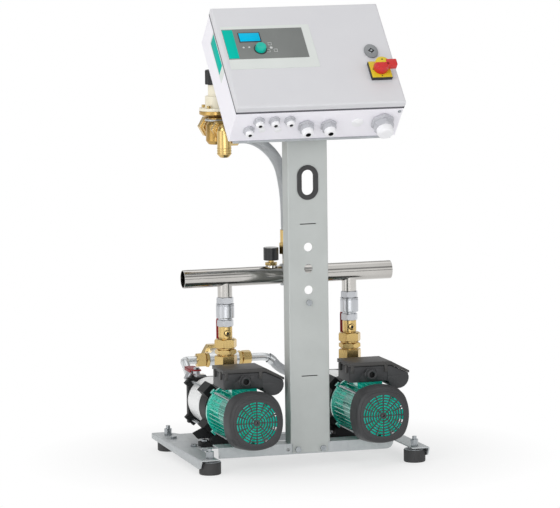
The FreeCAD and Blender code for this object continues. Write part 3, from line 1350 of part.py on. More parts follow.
def stator(name, side):
    """Windings and core of the motor, as one thick ring in the frame."""
    tag = "stator_" + name
    long = s.motor_long - s.shaft_gap * 2
    outer = cylinder(tag + "_outer", s.stator_radius - s.running_fit, long, along="y")
    inner = cylinder(tag + "_inner", s.rotor_radius + s.air_gap, long, along="y")
    return put(cut(tag, outer, inner), s.pump_x * side, motor_y + s.shaft_gap, s.shaft_z)


def pump_foot(name, side):
    """Cast saddle with two wings, under the lower lugs of the lantern."""
    tag = "saddle_" + name
    base = plate_top - s.shaft_z
    half = s.foot_block_half
    step = base + s.foot_flange
    deep = s.foot_block_deep * 2
    lug = s.lug_reach / ROOT_2
    neck_half = s.foot_bolt_x - s.bolt_flats
    flange = block(tag + "_flange", -half, half, 0, deep, base, step)
    neck = block(tag + "_neck", -neck_half, neck_half, 0, deep, step, -s.foot_top)
    wings = new_body(tag)
    outline = [(-half - 2.0, step + 6.0), (half + 2.0, step + 6.0), (half + 14.0, step + 20.0),
               (lug, -s.foot_top), (-lug, -s.foot_top), (-half - 14.0, step + 20.0)]
    pad(wings, "XZ_Plane", tag + "_wings", outline, s.foot_web, backwards=True)
    put(wings, 0, deep - s.foot_web, 0)
    gap = s.foot_gap
    tools = lug_cross(tag, deep * 3, -deep, s.lug_reach + gap, s.lug_wide / 2 + gap)
    tools.append(cylinder(tag + "_round", s.lantern_radius + gap, deep * 3, 0, -deep, 0, "y"))
    for number in (-1, 1):
        tools.append(cylinder(f"{tag}_hole_{number + 1}", s.bolt_radius + s.stud_clear,
                              s.foot_flange * 2, s.foot_bolt_x * number, s.foot_block_deep,
                              base - s.foot_flange / 2))
    solid = cut(tag + "_cut", fuse(tag + "_solid", flange, neck, wings), *tools)
    return put(solid, s.pump_x * side, foot_bolt_line - s.foot_block_deep, s.shaft_z)


def terminal_box(name, side):
    """Box on the motor, its right part lower, with the round capacitor housing below."""
    tag = "box_" + name
    outline = [(-s.box_left, s.box_low), (s.box_step, s.box_low), (s.box_right, s.box_low + 6.0),
               (s.box_right, s.box_end_high), (s.box_step + 9.0, s.box_high),
               (-s.box_left, s.box_high)]
    body = new_body(tag)
    pad(body, "XZ_Plane", tag + "_pad", outline, s.box_deep, backwards=True)
    housing = cylinder(tag + "_cap", s.cap_radius, s.box_deep, s.cap_x, 0, s.cap_rise, "y")
    limit = block(tag + "_limit", -s.box_left, s.box_right, 0, s.box_deep, 0, s.box_end_high - 4.0)
    low = common(tag + "_low", housing, limit)
    solid = fuse(tag + "_solid", body, low)
    hole = cylinder(tag + "_hole", s.gland_hole, s.box_wall * 4, s.gland_x, 0, s.gland_rise, "y")
    return put(cut(tag + "_cut", solid, hole), s.pump_x * side, s.box_front, s.shaft_z)


def terminal_lid(name, side):
    """Lid that follows the sloping top of its box, with two clips at the front."""
    tag = "lid_" + name
    over = s.lid_over
    body = new_body(tag)
    outline = [(-s.box_left - over, s.box_high), (s.box_step + 9.0, s.box_high),
               (s.box_right, s.box_end_high), (s.box_right + over, s.box_end_high),
               (s.box_right + over, s.box_end_high + s.lid_thick * 0.6),
               (s.box_step + 9.0, s.box_high + s.lid_thick), (-s.box_left - over, s.box_high + s.lid_thick)]
    pad(body, "XZ_Plane", tag + "_pad", outline, s.box_deep + over * 2, rise=over, backwards=True)
    clips = []
    for number, x in enumerate((-s.box_left + 6.0, s.box_step - 8.0)):
        clips.append(block(f"{tag}_clip_{number}", x - 4.0, x + 4.0, -over, -s.seat_gap,
                           s.box_high - 15.0, s.box_high + 2.0))
    return put(fuse(tag + "_solid", body, *clips), s.pump_x * side, s.box_front, s.shaft_z)


def cable_gland(tag, flats, x, y, z, along):
    """Hexagon and domed cap of a cable gland, blank inside."""
    nut = hexagon(tag + "_nut", flats, flats * 0.3, along=along)
    cap = hexagon(tag + "_cap", flats * 0.86, flats * 0.62, along=along)
    return put(fuse(tag, nut, cap), x, y, z)


def pumps():
    """Both pumps, piece by piece, then grouped by kind."""
    kinds = (("fan_covers", fan_cover), ("motor_frames", motor_frame), ("motor_stators", stator),
             ("motor_shields", shields), ("motor_bearings", bearings), ("lanterns", lantern),
             ("stage_casings", stage_casing), ("suction_covers", suction_cover),
             ("tie_rods", rods), ("pump_feet", pump_foot), ("terminal_boxes", terminal_box),
             ("terminal_lids", terminal_lid))
    for label, maker in kinds:
        pieces = []
        for name, side in SIDES:
            made = maker(name, side)
            pieces += made if isinstance(made, list) else [made]
        finish(group(label + "_group", pieces), label)
    glands = []
    for name, side in SIDES:
        finish(fan(name, side), "fan_" + name)
        finish(shaft(name, side), "pump_shaft_" + name)
        glands.append(cable_gland("motor_gland_" + name, s.gland_flats, s.pump_x * side + s.gland_x,
                                  s.box_front, s.shaft_z + s.gland_rise, "-y"))
    finish(group("motor_glands", glands), "terminal_glands")


# suction side

def path_of(points):
    """Straight runs joined by tangent arcs, each as large as its two runs allow."""
    spots = [Vector(*[as_size(value).value for value in point]) for point in points]
    edges = []
    last = spots[0]
    radii = []
    for before, here, after in zip(spots, spots[1:], spots[2:]):
        back = (before - here).normalize()
        ahead = (after - here).normalize()
        turn = math.pi - back.getAngle(ahead)
        reach = 0.45 * min((before - here).Length, (after - here).Length)
        start = here + back * reach
        end = here + ahead * reach
        radius = reach / math.tan(turn / 2)
        inward = (back + ahead).normalize()
        centre = here + inward * (radius / math.cos(turn / 2))
        middle = centre - inward * radius
        edges.append(Part.LineSegment(last, start).toShape())
        edges.append(Part.Arc(start, middle, end).toShape())
        last = end
        radii.append(round(radius, 1))
    edges.append(Part.LineSegment(last, spots[-1]).toShape())
    return Part.Wire(edges), spots[0], spots[1] - spots[0], radii


def tube(name, points, radius, sides=12):
    """Tube along a path of runs and arcs, its section a polygon, with its volume compared."""
    wire, start, direction, radii = path_of(points)
    turn = FreeCAD.Rotation(Vector(0, 0, 1), direction)
    outer = radius.value / math.cos(math.pi / sides)
    corners = []
    for step in range(sides + 1):
        angle = 2 * math.pi * step / sides
        corners.append(start + turn.multVec(Vector(math.cos(angle), math.sin(angle), 0) * outer))
    section = Part.makePolygon(corners)
    shape = wire.makePipeShell([section], True, False)
    expected = sides * math.tan(math.pi / sides) * radius.value ** 2 * wire.Length
    share = shape.Volume / expected
    print(name, "length", round(wire.Length, 1), "radii", radii, "volume share", round(share, 4))
    if abs(share - 1) > 0.01:
        raise RuntimeError("tube went wrong: " + name)
    item = doc.addObject("Part::Feature", name)
    item.Shape = shape
    return item


def suction_side():
    """Valves, levers, pipes, tee and hose on the suction ports."""
    bodies = []
    z = suction_z
    y = s.suction_valve_y
    neck = s.suction_lever_rise - s.lever_thick
    upright = FreeCAD.Rotation(Vector(0, 1, 1), 180)
    low_y = y - s.suction_valve_half
    high_y = y + s.suction_valve_half
    pipes = []
    for name, side in SIDES:
        tag = "in_" + name
        x = s.pump_x * side
        body, turning = ball_valve(tag, s.suction_flats, s.suction_valve_half * 2,
                                   s.suction_body_radius, s.suction_bore, s.suction_plug, neck)
        sheet_lever, nut = lever(tag, neck, s.suction_lever_long)
        handle = group(tag + "_handle", [turning, sheet_lever, nut])
        for item in (put(body, x, y, z), put(handle, x, y, z)):
            item.Placement.Rotation = upright
        bodies.append(body)
        finish(handle, "suction_lever_" + name)
        outer = cylinder(tag + "_nipple_out", s.nipple_radius, low_y - suction_face_y,
                         x, suction_face_y, z, "y")
        inner = cylinder(tag + "_nipple_in", s.suction_bore, low_y - suction_face_y,
                         x, suction_face_y, z, "y")
        pipes.append(cut(tag + "_nipple", outer, inner))
    finish(group("suction_bodies", bodies), "suction_valves")

    tee_left = s.tee_x - s.tee_half
    tee_right = s.tee_x + s.tee_half
    nut_left = tee_left - s.ring_long - s.tee_nut_long
    nut_right = tee_right + s.ring_long + s.tee_nut_long
    x = -s.pump_x
    rise = [(x, high_y, z), (x, high_y + 22.0, z), (x, s.tee_y - 24.0, s.tee_z - 3.0),
            (x + 3.0, s.tee_y, s.tee_z), (nut_left, s.tee_y, s.tee_z)]
    pipes.append(tube("suction_rise", rise, s.suction_pipe_radius))
    pipes.append(cylinder("suction_stub", s.suction_pipe_radius, s.stub_long, nut_right,
                          s.tee_y, s.tee_z, "x"))
    finish(group("pipes", pipes), "suction_pipes")

    back = s.tee_y + s.tee_back
    across = cylinder("tee_across", s.tee_radius, s.tee_half * 2, tee_left, s.tee_y, s.tee_z, "x")
    leg = cylinder("tee_leg", s.tee_radius, s.tee_back, s.tee_x, s.tee_y, s.tee_z, "y")
    across_bore = cylinder("tee_across_bore", s.suction_bore, s.tee_half * 2,
                           tee_left, s.tee_y, s.tee_z, "x")
    leg_bore = cylinder("tee_leg_bore", s.suction_bore, s.tee_back, s.tee_x, s.tee_y, s.tee_z, "y")
    finish(cut("tee", fuse("tee_solid", across, leg), across_bore, leg_bore), "suction_tee")

    nuts = []
    for tag, ring_x, nut_x in (("left", tee_left - s.ring_long, nut_left),
                               ("right", tee_right, tee_right + s.ring_long)):
        ring_hex = hexagon("ring_" + tag, s.tee_flats, s.ring_long, ring_x, s.tee_y, s.tee_z, "x")
        nut_hex = hexagon("nut_" + tag, s.tee_flats * 0.94, s.tee_nut_long,
                          nut_x, s.tee_y, s.tee_z, "x")
        nuts.append(fuse("tee_nut_" + tag, ring_hex, nut_hex))
    inlet = hexagon("inlet", s.inlet_flats, s.inlet_long, s.tee_x, back, s.tee_z, "y")
    thread = cylinder("inlet_thread", s.inlet_bore, s.inlet_long, s.tee_x, back, s.tee_z, "y")
    nuts.append(cut("inlet_nut", inlet, thread))
    ferrule_x = nut_right + s.stub_long
    nuts.append(cylinder("ferrule_tee", s.ferrule_small, s.ferrule_short, ferrule_x,
                         s.tee_y, s.tee_z, "x"))
    nuts.append(cylinder("ferrule_valve", s.ferrule_small, s.ferrule_short, s.pump_x,
                         high_y, z, "y"))
    finish(group("suction_union_nuts", nuts), "suction_nuts")
    start_x = ferrule_x + s.ferrule_short
    route = [(start_x, s.tee_y, s.tee_z), (start_x + 17.0, s.tee_y, s.tee_z),
             (s.pump_x - 70.0, s.tee_y, z + 22.0), (s.pump_x - 48.0, s.tee_y - 0.5, z + 11.0),
             (s.pump_x - 26.0, s.tee_y - 9.0, z + 3.0), (s.pump_x - 9.0, s.tee_y - 26.0, z),
             (s.pump_x, s.tee_y - 48.0, z), (s.pump_x, high_y + s.ferrule_short, z)]
    finish(tube("hose_in", route, s.suction_hose_radius), "suction_hose")


# overflow valve and its hose

def overflow_valve():
    """Spring valve beside the cabinet: body, bonnet, knob, fittings, arm and hose."""
    x = s.relief_x
    y = s.riser_y
    side_z = side_port_z
    flange_z = s.relief_flange_z
    bulb = s.relief_body_radius
    neck = s.relief_neck
    flange_top = s.relief_flange
    section = [(0, relief_floor), (neck, relief_floor), (bulb, relief_floor + 8.0),
               (bulb, side_z + 8.0), (neck, side_z + 17.0), (neck, flange_z - 8.0),
               (s.relief_flange_radius, flange_z), (s.relief_flange_radius, flange_z + flange_top),
               (0, flange_z + flange_top)]
    bulb_solid = turned("relief_bulb", section, x, y, 0)
    half = s.relief_half
    port = cylinder("relief_port", s.relief_port, half * 2, x, y - half, side_z, "y")
    inlet_low = s.hose_port_x - x
    inlet = cylinder("relief_inlet", s.hose_radius, inlet_low, x, y, hose_port_z, "x")
    finish(fuse("relief_solid", bulb_solid, port, inlet), "overflow_valve_body")

    low = flange_z + flange_top
    flange = cylinder("bonnet_flange", s.relief_flange_radius, s.bonnet_flange, x, y, low)
    dome_z = low + s.bonnet_flange
    dome = cylinder("bonnet_dome", s.bonnet_radius, s.bonnet_high, x, y, dome_z)
    neck_z = dome_z + s.bonnet_high
    tower = cylinder("bonnet_neck", s.bonnet_neck, s.bonnet_neck_high, x, y, neck_z)
    knob_z = neck_z + s.bonnet_neck_high + s.adjust_gap
    bore = cylinder("bonnet_bore", s.adjust_spindle + s.running_fit, s.spindle_deep,
                    x, y, knob_z - s.spindle_deep)
    finish(cut("bonnet", fuse("bonnet_solid", flange, dome, tower), bore), "overflow_valve_bonnet")
    cap = cylinder("adjust_cap", s.adjust_radius, s.adjust_high, x, y, knob_z)
    spindle = cylinder("adjust_spindle", s.adjust_spindle, s.spindle_deep - 2.0,
                       x, y, knob_z - s.spindle_deep + 2.0)
    finish(fuse("adjust", cap, spindle), "overflow_knob")

    fittings = []
    front = y - half
    wide_y = front - s.wide_hex
    hexes = [hexagon("front_hex_wide", s.relief_flats, s.wide_hex, x, wide_y, side_z, "y"),
             hexagon("front_hex_small", s.relief_flats - s.small_hex_less, s.small_hex,
                     x, wide_y - s.small_hex, side_z, "y")]
    elbow_y = y - s.elbow_long
    along = cylinder("elbow_along", s.elbow_radius, s.elbow_long - half, x, elbow_y, side_z, "y")
    knee = ball("elbow_knee", s.nozzle_radius * 0.96, x, elbow_y, side_z)
    tail_z = nozzle_low + s.nozzle_tip
    tail = cylinder("elbow_tail", s.nozzle_radius, side_z - tail_z, x, elbow_y, tail_z)
    tip = cone("elbow_tip", s.nozzle_radius * 0.6, s.nozzle_radius, s.nozzle_tip,
               x, elbow_y, nozzle_low)
    way = cylinder("elbow_way", s.relief_bore, s.nozzle_drop, x, elbow_y, nozzle_low)
    elbow = fuse("elbow_solid", *hexes, along, knee, tail, tip)
    fittings.append(cut("elbow", elbow, way))
    rear = y + half
    rear_hex = hexagon("rear_hex", s.relief_flats, s.rear_hex, x, rear, side_z, "y")
    rear_plug = hexagon("rear_plug", s.relief_flats + s.small_hex_less, s.rear_plug,
                        x, rear + s.rear_hex, side_z, "y")
    fittings.append(fuse("rear_union", rear_hex, rear_plug))
    nut_x = s.hose_port_x
    fittings.append(hexagon("hose_nut_valve", s.hose_flats, s.hose_nut_long, nut_x, y,
                            hose_port_z, "x"))
    nut_z = s.hose_stub_z
    fittings.append(hexagon("hose_nut_low", s.hose_flats, s.hose_nut_high, 0, y, nut_z))
    ferrule_z = nut_z + s.hose_nut_high
    fittings.append(cylinder("hose_ferrule_low", s.ferrule_radius, s.ferrule_long, 0, y, ferrule_z))
    bolt_circle = s.relief_flange_radius - s.flange_bolt_in
    for number in range(4):
        angle = math.pi / 2 * number + math.pi / 4
        bolt_x = x + bolt_circle * math.cos(angle)
        bolt_y = y + bolt_circle * math.sin(angle)
        fittings.append(hexagon(f"flange_bolt_{number}", s.flange_bolt, s.flange_bolt_high,
                                bolt_x, bolt_y, dome_z))
    finish(group("fittings", fittings), "overflow_fittings")
    top = ferrule_z + s.ferrule_long
    end_x = nut_x + s.hose_nut_long
    route = [(0, y, top), (0, y, 570.0), (-2.5, y, 612.0), (-8.0, y, 648.0), (-14.5, y, 675.0),
             (-27.5, y, 699.0), (-45.0, y, 718.0), (-63.0, y, 731.5),
             (end_x + 34.0, y, hose_port_z - 4.0), (end_x + 17.0, y, hose_port_z),
             (end_x, y, hose_port_z)]
    finish(tube("hose_over", route, s.hose_radius), "overflow_hose")


# cabinet, made upright and leant as a whole

def on_cabinet(item, label):
    holder = group(label + "_leant", [item] if not isinstance(item, list) else item)
    finish(lean(holder), label)


def bracket():
    """Plate on the column head that carries the cabinet."""
    plate = block("bracket_plate", -s.bracket_half, s.bracket_half, 0, s.bracket_sheet,
                  -s.bracket_under, s.bracket_high)
    on_cabinet(plate, "cabinet_bracket")


def valve_arm():
    """Angled plate on the back of the column that holds the overflow valve by its neck."""
    half = s.arm_wide / 2
    thick = s.arm_thick
    z = s.relief_flange_z - s.arm_below
    back = s.front_y + s.column_depth
    y = s.riser_y
    x = s.relief_x
    edge = -s.column_half
    upright = block("arm_upright", edge, s.column_half, back, back + thick, z - half, z + half)
    along = block("arm_along", edge, edge + half * 2, back, y + half, z, z + thick)
    across = block("arm_across", x, edge + half * 2, y - half, y + half, z, z + thick)
    eye = cylinder("arm_eye", s.relief_neck + 8.0, thick, x, y, z)
    hole = cylinder("arm_hole", s.relief_neck + s.running_fit, thick * 3, x, y, z - thick)
    finish(cut("arm", fuse("arm_solid", upright, along, across, eye), hole), "valve_arm")


def cabinet():
    """Shell with its front lip, door pan, hinges, lock, switch, panel, glands, inside."""
    half = s.cab_half
    wall = s.cab_wall
    deep = s.cab_depth
    high = s.cab_height
    lip = s.lip_wide
    outer = block("shell_outer", -half, half, -deep, 0, 0, high)
    inner = block("shell_inner", -half + wall, half - wall, -deep + wall, -wall, wall, high - wall)
    mouth = block("shell_mouth", -half + lip, half - lip, -deep - wall, -deep + wall * 2,
                  lip, high - lip)
    tools = [inner, mouth]
    glands = []
    spots = [(-157.0, 39.0, s.gland_small), (-139.0, 69.0, s.gland_small),
             (-103.0, 69.0, s.gland_small), (-67.0, 69.0, s.gland_small),
             (-25.0, 45.0, s.gland_medium), (28.0, 45.0, s.gland_medium),
             (154.0, 55.0, s.gland_large)]
    for number, (x, back, flats) in enumerate(spots):
        tools.append(cylinder(f"gland_hole_{number}", flats * 0.36, wall * 2, x, -back, -wall / 2))
        shank = cylinder(f"gland_shank_{number}", flats * 0.34, wall + flats * 0.2, x, -back, 0)
        nut = hexagon(f"gland_nut_{number}", flats, flats * 0.35, x, -back, -flats * 0.35)
        cap = cylinder(f"gland_cap_{number}", flats * 0.4, flats * 0.75, x, -back, -flats * 0.75)
        glands.append(fuse(f"gland_{number}", shank, nut, cap))
    on_cabinet(cut("shell", outer, *tools), "cabinet_shell")
    on_cabinet(glands, "cable_glands")

    rear = -deep - s.door_gap
    front = rear - s.door_thick
    body = new_body("door_body")
    over = s.door_over
    outline = [(-s.door_half, -over), (s.door_half, -over), (s.door_half, high + over),
               (-s.door_half, high + over)]
    pan = pad(body, "XZ_Plane", "door_pan", outline, s.door_thick, backwards=False)
    round_edges(body, pan, "door_bend", s.door_round,
                lambda p, e: abs(p.y + s.door_thick.value) < 0.01)
    put(body, 0, rear, 0)
    hollow = block("door_hollow", -s.door_half + wall, s.door_half - wall, front + wall, rear,
                   wall - over, high + over - wall)
    pin_x = -s.door_half + s.pin_inset
    pin_y = rear - s.pin_behind
    tools = [hollow,
             cylinder("knob_hole", s.spindle_radius + s.spindle_room, wall * 3,
                      s.knob_x, front - wall, s.knob_z, "y"),
             cylinder("lock_hole", s.lock_radius + s.running_fit, wall * 3, s.lock_x, front - wall,
                      s.lock_z, "y"),
             cylinder("switch_hole", s.spindle_radius + s.spindle_room, wall * 3,
                      s.switch_x, front - wall, s.switch_z, "y")]
    shell = cut("door_shell", body, *tools)
    lugs = []
    pins = []
    arms = []
    pin_hole = s.pin_radius + s.running_fit
    for tag, middle in (("low", s.hinge_inset), ("high", high - s.hinge_inset)):
        for end, side in (("under", -1), ("over", 1)):
            z = middle + (s.barrel_half + s.seat_gap) * side - (s.lug_thick if side < 0 else 0)
            lug = block(f"lug_{tag}_{end}", -s.door_half + wall, pin_x + s.barrel_radius,
                        pin_y - s.barrel_radius, pin_y + s.barrel_radius, z, z + s.lug_thick)
            bore = cylinder(f"lug_bore_{tag}_{end}", s.pin_radius, s.lug_thick, pin_x, pin_y, z)
            lugs.append(cut(f"lug_cut_{tag}_{end}", lug, bore))
        reach = s.barrel_half + s.lug_thick + s.seat_gap
        pins.append(cylinder("pin_" + tag, s.pin_radius, reach * 2, pin_x, pin_y, middle - reach))
        z0 = middle - s.barrel_half
        z1 = middle + s.barrel_half
        barrel = cylinder("barrel_" + tag, s.barrel_radius, s.barrel_half * 2, pin_x, pin_y, z0)
        neck_y = pin_y - s.barrel_radius
        leg_x = pin_x + s.goose_reach
        sheet_thick = s.goose_sheet
        neck = block("neck_" + tag, pin_x, leg_x, neck_y, neck_y + sheet_thick, z0, z1)
        leg = block("leg_" + tag, leg_x - sheet_thick, leg_x, neck_y, -deep + wall + sheet_thick, z0, z1)
        foot = block("goose_foot_" + tag, -half + wall + 1.0, leg_x, -deep + wall,
                     -deep + wall + sheet_thick, z0, z1)
        solid = fuse("goose_" + tag, barrel, neck, leg, foot)
        bore = cylinder("barrel_bore_" + tag, pin_hole, s.barrel_half * 2, pin_x, pin_y, z0)
        arms.append(cut("goose_arm_" + tag, solid, bore))
    on_cabinet([fuse("door", shell, *lugs)], "cabinet_door")
    on_cabinet(arms, "hinge_arms")
    on_cabinet(pins, "hinge_pins")

    film = block("film", s.panel_left, s.panel_right, front - s.panel_thick, front,
                 s.panel_low, s.panel_high)
    film_hole = cylinder("film_hole", s.spindle_radius + s.running_fit, s.panel_thick * 2,
                         s.knob_x, front - s.panel_thick * 1.5, s.knob_z, "y")
    unit = block("control_unit", s.panel_left + s.unit_inset, s.panel_right - 4.0, front + wall,
                 front + wall + s.unit_deep, s.panel_low + 4.0, s.panel_high - 4.0)
    unit_hole = cylinder("unit_hole", s.collar_radius + s.running_fit, s.spindle_long,
                         s.knob_x, front + wall, s.knob_z, "y")
    on_cabinet([cut("film_cut", film, film_hole), cut("unit_cut", unit, unit_hole)], "control_panel")
    knob_back = front - s.panel_thick - s.seat_gap
    cap = cylinder("knob_cap", s.knob_radius, s.knob_high, s.knob_x, knob_back - s.knob_high,
                   s.knob_z, "y")
    spindle = cylinder("knob_spindle", s.spindle_radius, s.spindle_long, s.knob_x, knob_back,
                       s.knob_z, "y")
    on_cabinet(fuse("knob", cap, spindle), "control_knob")

    insert_long = s.lock_thick + wall + s.cam_gap
    insert = cylinder("lock_insert", s.lock_radius, insert_long, s.lock_x, front - s.lock_thick,
                      s.lock_z, "y")
    cam_y = front + wall + s.cam_gap
    half_cam = s.cam_wide / 2
    cam = block("lock_cam", s.lock_x - half_cam, s.lock_x + half_cam, cam_y, cam_y + 2.0,
                s.lock_z - s.cam_long, s.lock_z + half_cam)
    on_cabinet([fuse("lock_turning", insert, cam)], "door_lock")
    frame = block("lock_frame", s.lock_x - s.lock_half_wide, s.lock_x + s.lock_half_wide,
                  front - s.lock_thick, front, s.lock_z - s.lock_half_high, s.lock_z + s.lock_half_high)
    frame_hole = cylinder("lock_frame_hole", s.lock_radius + s.running_fit, s.lock_thick * 2,
                          s.lock_x, front - s.lock_thick * 1.5, s.lock_z, "y")
    plate = block("switch_front", s.switch_x - s.switch_half, s.switch_x + s.switch_half,
                  front - s.switch_thick, front, s.switch_z - s.switch_half, s.switch_z + s.switch_half)
    contacts = block("switch_contacts", s.switch_x - s.contact_half, s.switch_x + s.contact_half,
                     front + wall, front + wall + s.contact_deep,
                     s.switch_z - s.contact_half_high, s.switch_z + s.contact_half_high)
    way = cylinder("switch_way", s.spindle_radius + s.running_fit, s.spindle_long * 3, s.switch_x,
                   front - s.switch_thick * 2, s.switch_z, "y")
    on_cabinet([cut("lock_frame_cut", frame, frame_hole),
                cut("switch_plate_cut", plate, way), cut("contacts_cut", contacts, way)], "switch_plate")
    face = front - s.switch_thick - s.seat_gap
    top = face - s.handle_high
    round_part = cylinder("handle_round", s.handle_radius, s.handle_high, s.switch_x, top, s.switch_z, "y")
    arm = block("handle_arm", s.switch_x, s.switch_x + s.handle_arm, top, face - s.handle_high * 0.4,
                s.switch_z - s.handle_arm_wide / 2, s.switch_z + s.handle_arm_wide / 2)
    rod = cylinder("handle_rod", s.spindle_radius, s.handle_high + s.spindle_long, s.switch_x, top,
                   s.switch_z, "y")
    on_cabinet(fuse("handle", round_part, arm, rod), "switch_handle")

    inset = s.mount_inset
    plate_y = -wall - s.mount_sheet
    rail_face = plate_y - s.din_deep
    rail_half = s.din_wide / 2
    inside = [block("mounting_plate", -s.mount_half, s.mount_half, plate_y, -wall, inset, high - inset)]
    for tag, z in (("low", s.din_low), ("high", s.din_high)):
        inside.append(block("mounting_rail_" + tag, -s.din_half, s.din_half, rail_face, plate_y,
                            z - rail_half, z + rail_half))
    for number in range(4):
        x = s.breaker_x + s.breaker_pitch * number
        inside.append(block(f"breaker_{number}", x, x + s.breaker_wide,
                            rail_face - s.breaker_deep, rail_face,
                            s.din_high - s.breaker_high / 2, s.din_high + s.breaker_high / 2))
    for number in range(2):
        x = s.contactor_pitch * number - s.contactor_x
        inside.append(block(f"contactor_{number}", x, x + s.contactor_wide,
                            rail_face - s.contactor_deep, rail_face,
                            s.din_high - s.contactor_high / 2, s.din_high + s.contactor_high / 2))
    inside.append(block("terminal_row", -s.contactor_x, s.terminal_right,
                        rail_face - s.terminal_deep, rail_face,
                        s.din_low - s.terminal_high / 2, s.din_low + s.terminal_high / 2))
    on_cabinet(inside, "switchgear")


def build_all():
    for name, side in SIDES:
        side_plate(name, side)
    front_rail()
    rear_rail()
    steel = feet()
    finish(group("fasteners", steel + frame_bolts()), "base_fasteners")
    column()
    grip_trim()
    manifold()
    manifold_clamp()
    gauge()
    discharge_valves()
    risers()
    pumps()
    suction_side()
    overflow_valve()
    valve_arm()
    bracket()
    cabinet()


def check_and_write():
    doc.recompute()
    bad = [item.Name for item in doc.Objects if "Invalid" in item.State or "Error" in item.State]
    if bad:
        raise RuntimeError("failed: " + ", ".join(bad))
    os.makedirs("parts", exist_ok=True)
    for item in PARTS:
        shape = item.Shape
        if shape.isNull() or not shape.isValid() or not shape.Solids:
            raise RuntimeError("no good shape: " + item.Label)
        shape.exportStep(f"parts/{item.Label}.step")
        print(item.Label, len(shape.Solids), "solids", round(shape.Volume / 1000, 1), "cm3")


build_all()
check_and_write()
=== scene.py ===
# %% [markdown]
# # A pressure maintenance unit
# Two small pumps stand on a sheet base, a column carries a leaning cabinet, and pipes,
# valves and two braided hoses join them. Every rigid piece comes ready from the frame.
# This lesson gives each of them a finish, and makes again the pieces whose fine shape
# matters to the eye: the fan grilles, the nuts, the terminal boxes, the glands, the knobs.

import math

import bmesh
import bpy
from mathutils import Matrix, Vector


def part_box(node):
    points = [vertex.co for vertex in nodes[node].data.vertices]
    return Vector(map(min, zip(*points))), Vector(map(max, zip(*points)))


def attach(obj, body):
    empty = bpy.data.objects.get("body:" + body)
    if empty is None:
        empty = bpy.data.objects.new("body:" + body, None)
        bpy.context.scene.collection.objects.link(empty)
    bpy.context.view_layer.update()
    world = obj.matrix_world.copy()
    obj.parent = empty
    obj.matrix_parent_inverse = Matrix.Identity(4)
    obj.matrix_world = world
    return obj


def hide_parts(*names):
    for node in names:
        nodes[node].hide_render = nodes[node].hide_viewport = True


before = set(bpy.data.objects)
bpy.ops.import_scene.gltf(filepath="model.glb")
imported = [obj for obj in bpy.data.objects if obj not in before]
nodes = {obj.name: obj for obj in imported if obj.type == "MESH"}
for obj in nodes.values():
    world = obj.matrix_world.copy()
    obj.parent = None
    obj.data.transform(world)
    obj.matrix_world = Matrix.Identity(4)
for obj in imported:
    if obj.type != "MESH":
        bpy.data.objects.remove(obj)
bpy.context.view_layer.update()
scene = bpy.context.scene
MM = 0.001
SIDES = (("left", -1), ("right", 1))

# %% [markdown]
# ## The camera
# The photograph was taken from far away with a long lens, a little to the left and
# a little above. A camera can be aimed with a constraint, but a matrix built from three
# directions also holds the small roll, so the picture frame matches exactly.

# %% Camera
EYE = Vector((-2.8009, -9.1955, 1.5981))
TURN = 0.29379937
DROP = 0.11670774
ROLL = -0.01242814
FOCAL_PIXELS = 4197.25
PICTURE_WIDE = 560
SENSOR = 36.0

ahead = Vector((math.sin(TURN) * math.cos(DROP), math.cos(TURN) * math.cos(DROP),
                -math.sin(DROP)))
level = Vector((math.cos(TURN), -math.sin(TURN), 0))
upward = level.cross(ahead)
across = level * math.cos(ROLL) + upward * math.sin(ROLL)
above = upward * math.cos(ROLL) - level * math.sin(ROLL)

camera_data = bpy.data.cameras.new("camera")
camera_data.sensor_width = SENSOR
camera_data.lens = FOCAL_PIXELS * SENSOR / PICTURE_WIDE
camera_data.clip_end = 100
camera = bpy.data.objects.new("camera", camera_data)
scene.collection.objects.link(camera)
aimed = Matrix((across, above, -ahead)).transposed().to_4x4()
camera.matrix_world = Matrix.Translation(EYE) @ aimed
scene.camera = camera
scene.view_settings.view_transform = "Standard"
print("lens", round(camera_data.lens, 1), "mm")

# %% [markdown]
# ## Helpers for pieces
# A piece is modelled in a bmesh about the origin, moved to its place, and turned into a
# mesh object that stays at the origin. Doubles are merged before the normals are worked
# out again, because spin and mirror can leave both behind.

# %% Piece helpers
FINISH = {}
SAME_SPOT = 0.002 * MM
CREASE = 32


def shade(mesh, crease):
    mesh.shade_smooth()
    mesh.set_sharp_from_angle(angle=math.radians(crease))


def to_piece(bm, name, finishes, body, replaced=(), place=None, crease=CREASE):
    """Turn a bmesh into a piece that rides on a body; its finishes are given by name."""
    if place is not None:
        bmesh.ops.transform(bm, matrix=place, verts=bm.verts)
    bmesh.ops.remove_doubles(bm, verts=bm.verts, dist=SAME_SPOT)
    bmesh.ops.recalc_face_normals(bm, faces=bm.faces)
    mesh = bpy.data.meshes.new(name)
    bm.to_mesh(mesh)
    bm.free()
    shade(mesh, crease)
    piece = bpy.data.objects.new(name, mesh)
    scene.collection.objects.link(piece)
    for label in finishes.split():
        mesh.materials.append(FINISH[label])
    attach(piece, body)
    if replaced:
        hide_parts(*replaced)
    return piece


def settle(piece):
    """Apply a piece's modifiers, so that its creases are found on the finished mesh."""
    bpy.context.view_layer.update()
    graph = bpy.context.evaluated_depsgraph_get()
    mesh = bpy.data.meshes.new_from_object(piece.evaluated_get(graph))
    piece.modifiers.clear()
    piece.data = mesh
    shade(mesh, CREASE)


# %% [markdown]
# Places are matrices. One turns a drawing made in X and Y upright, with its thickness
# along Y. Others move by millimetres, lay the local Z axis along a direction and move,
# turn round Z, or stand on the middle of the top of a node's box.

# %% Places
UPRIGHT = Matrix(((1, 0, 0), (0, 0, 1), (0, 1, 0))).to_4x4()


def shift(x, y, z=0):
    return Matrix.Translation((x * MM, y * MM, z * MM))


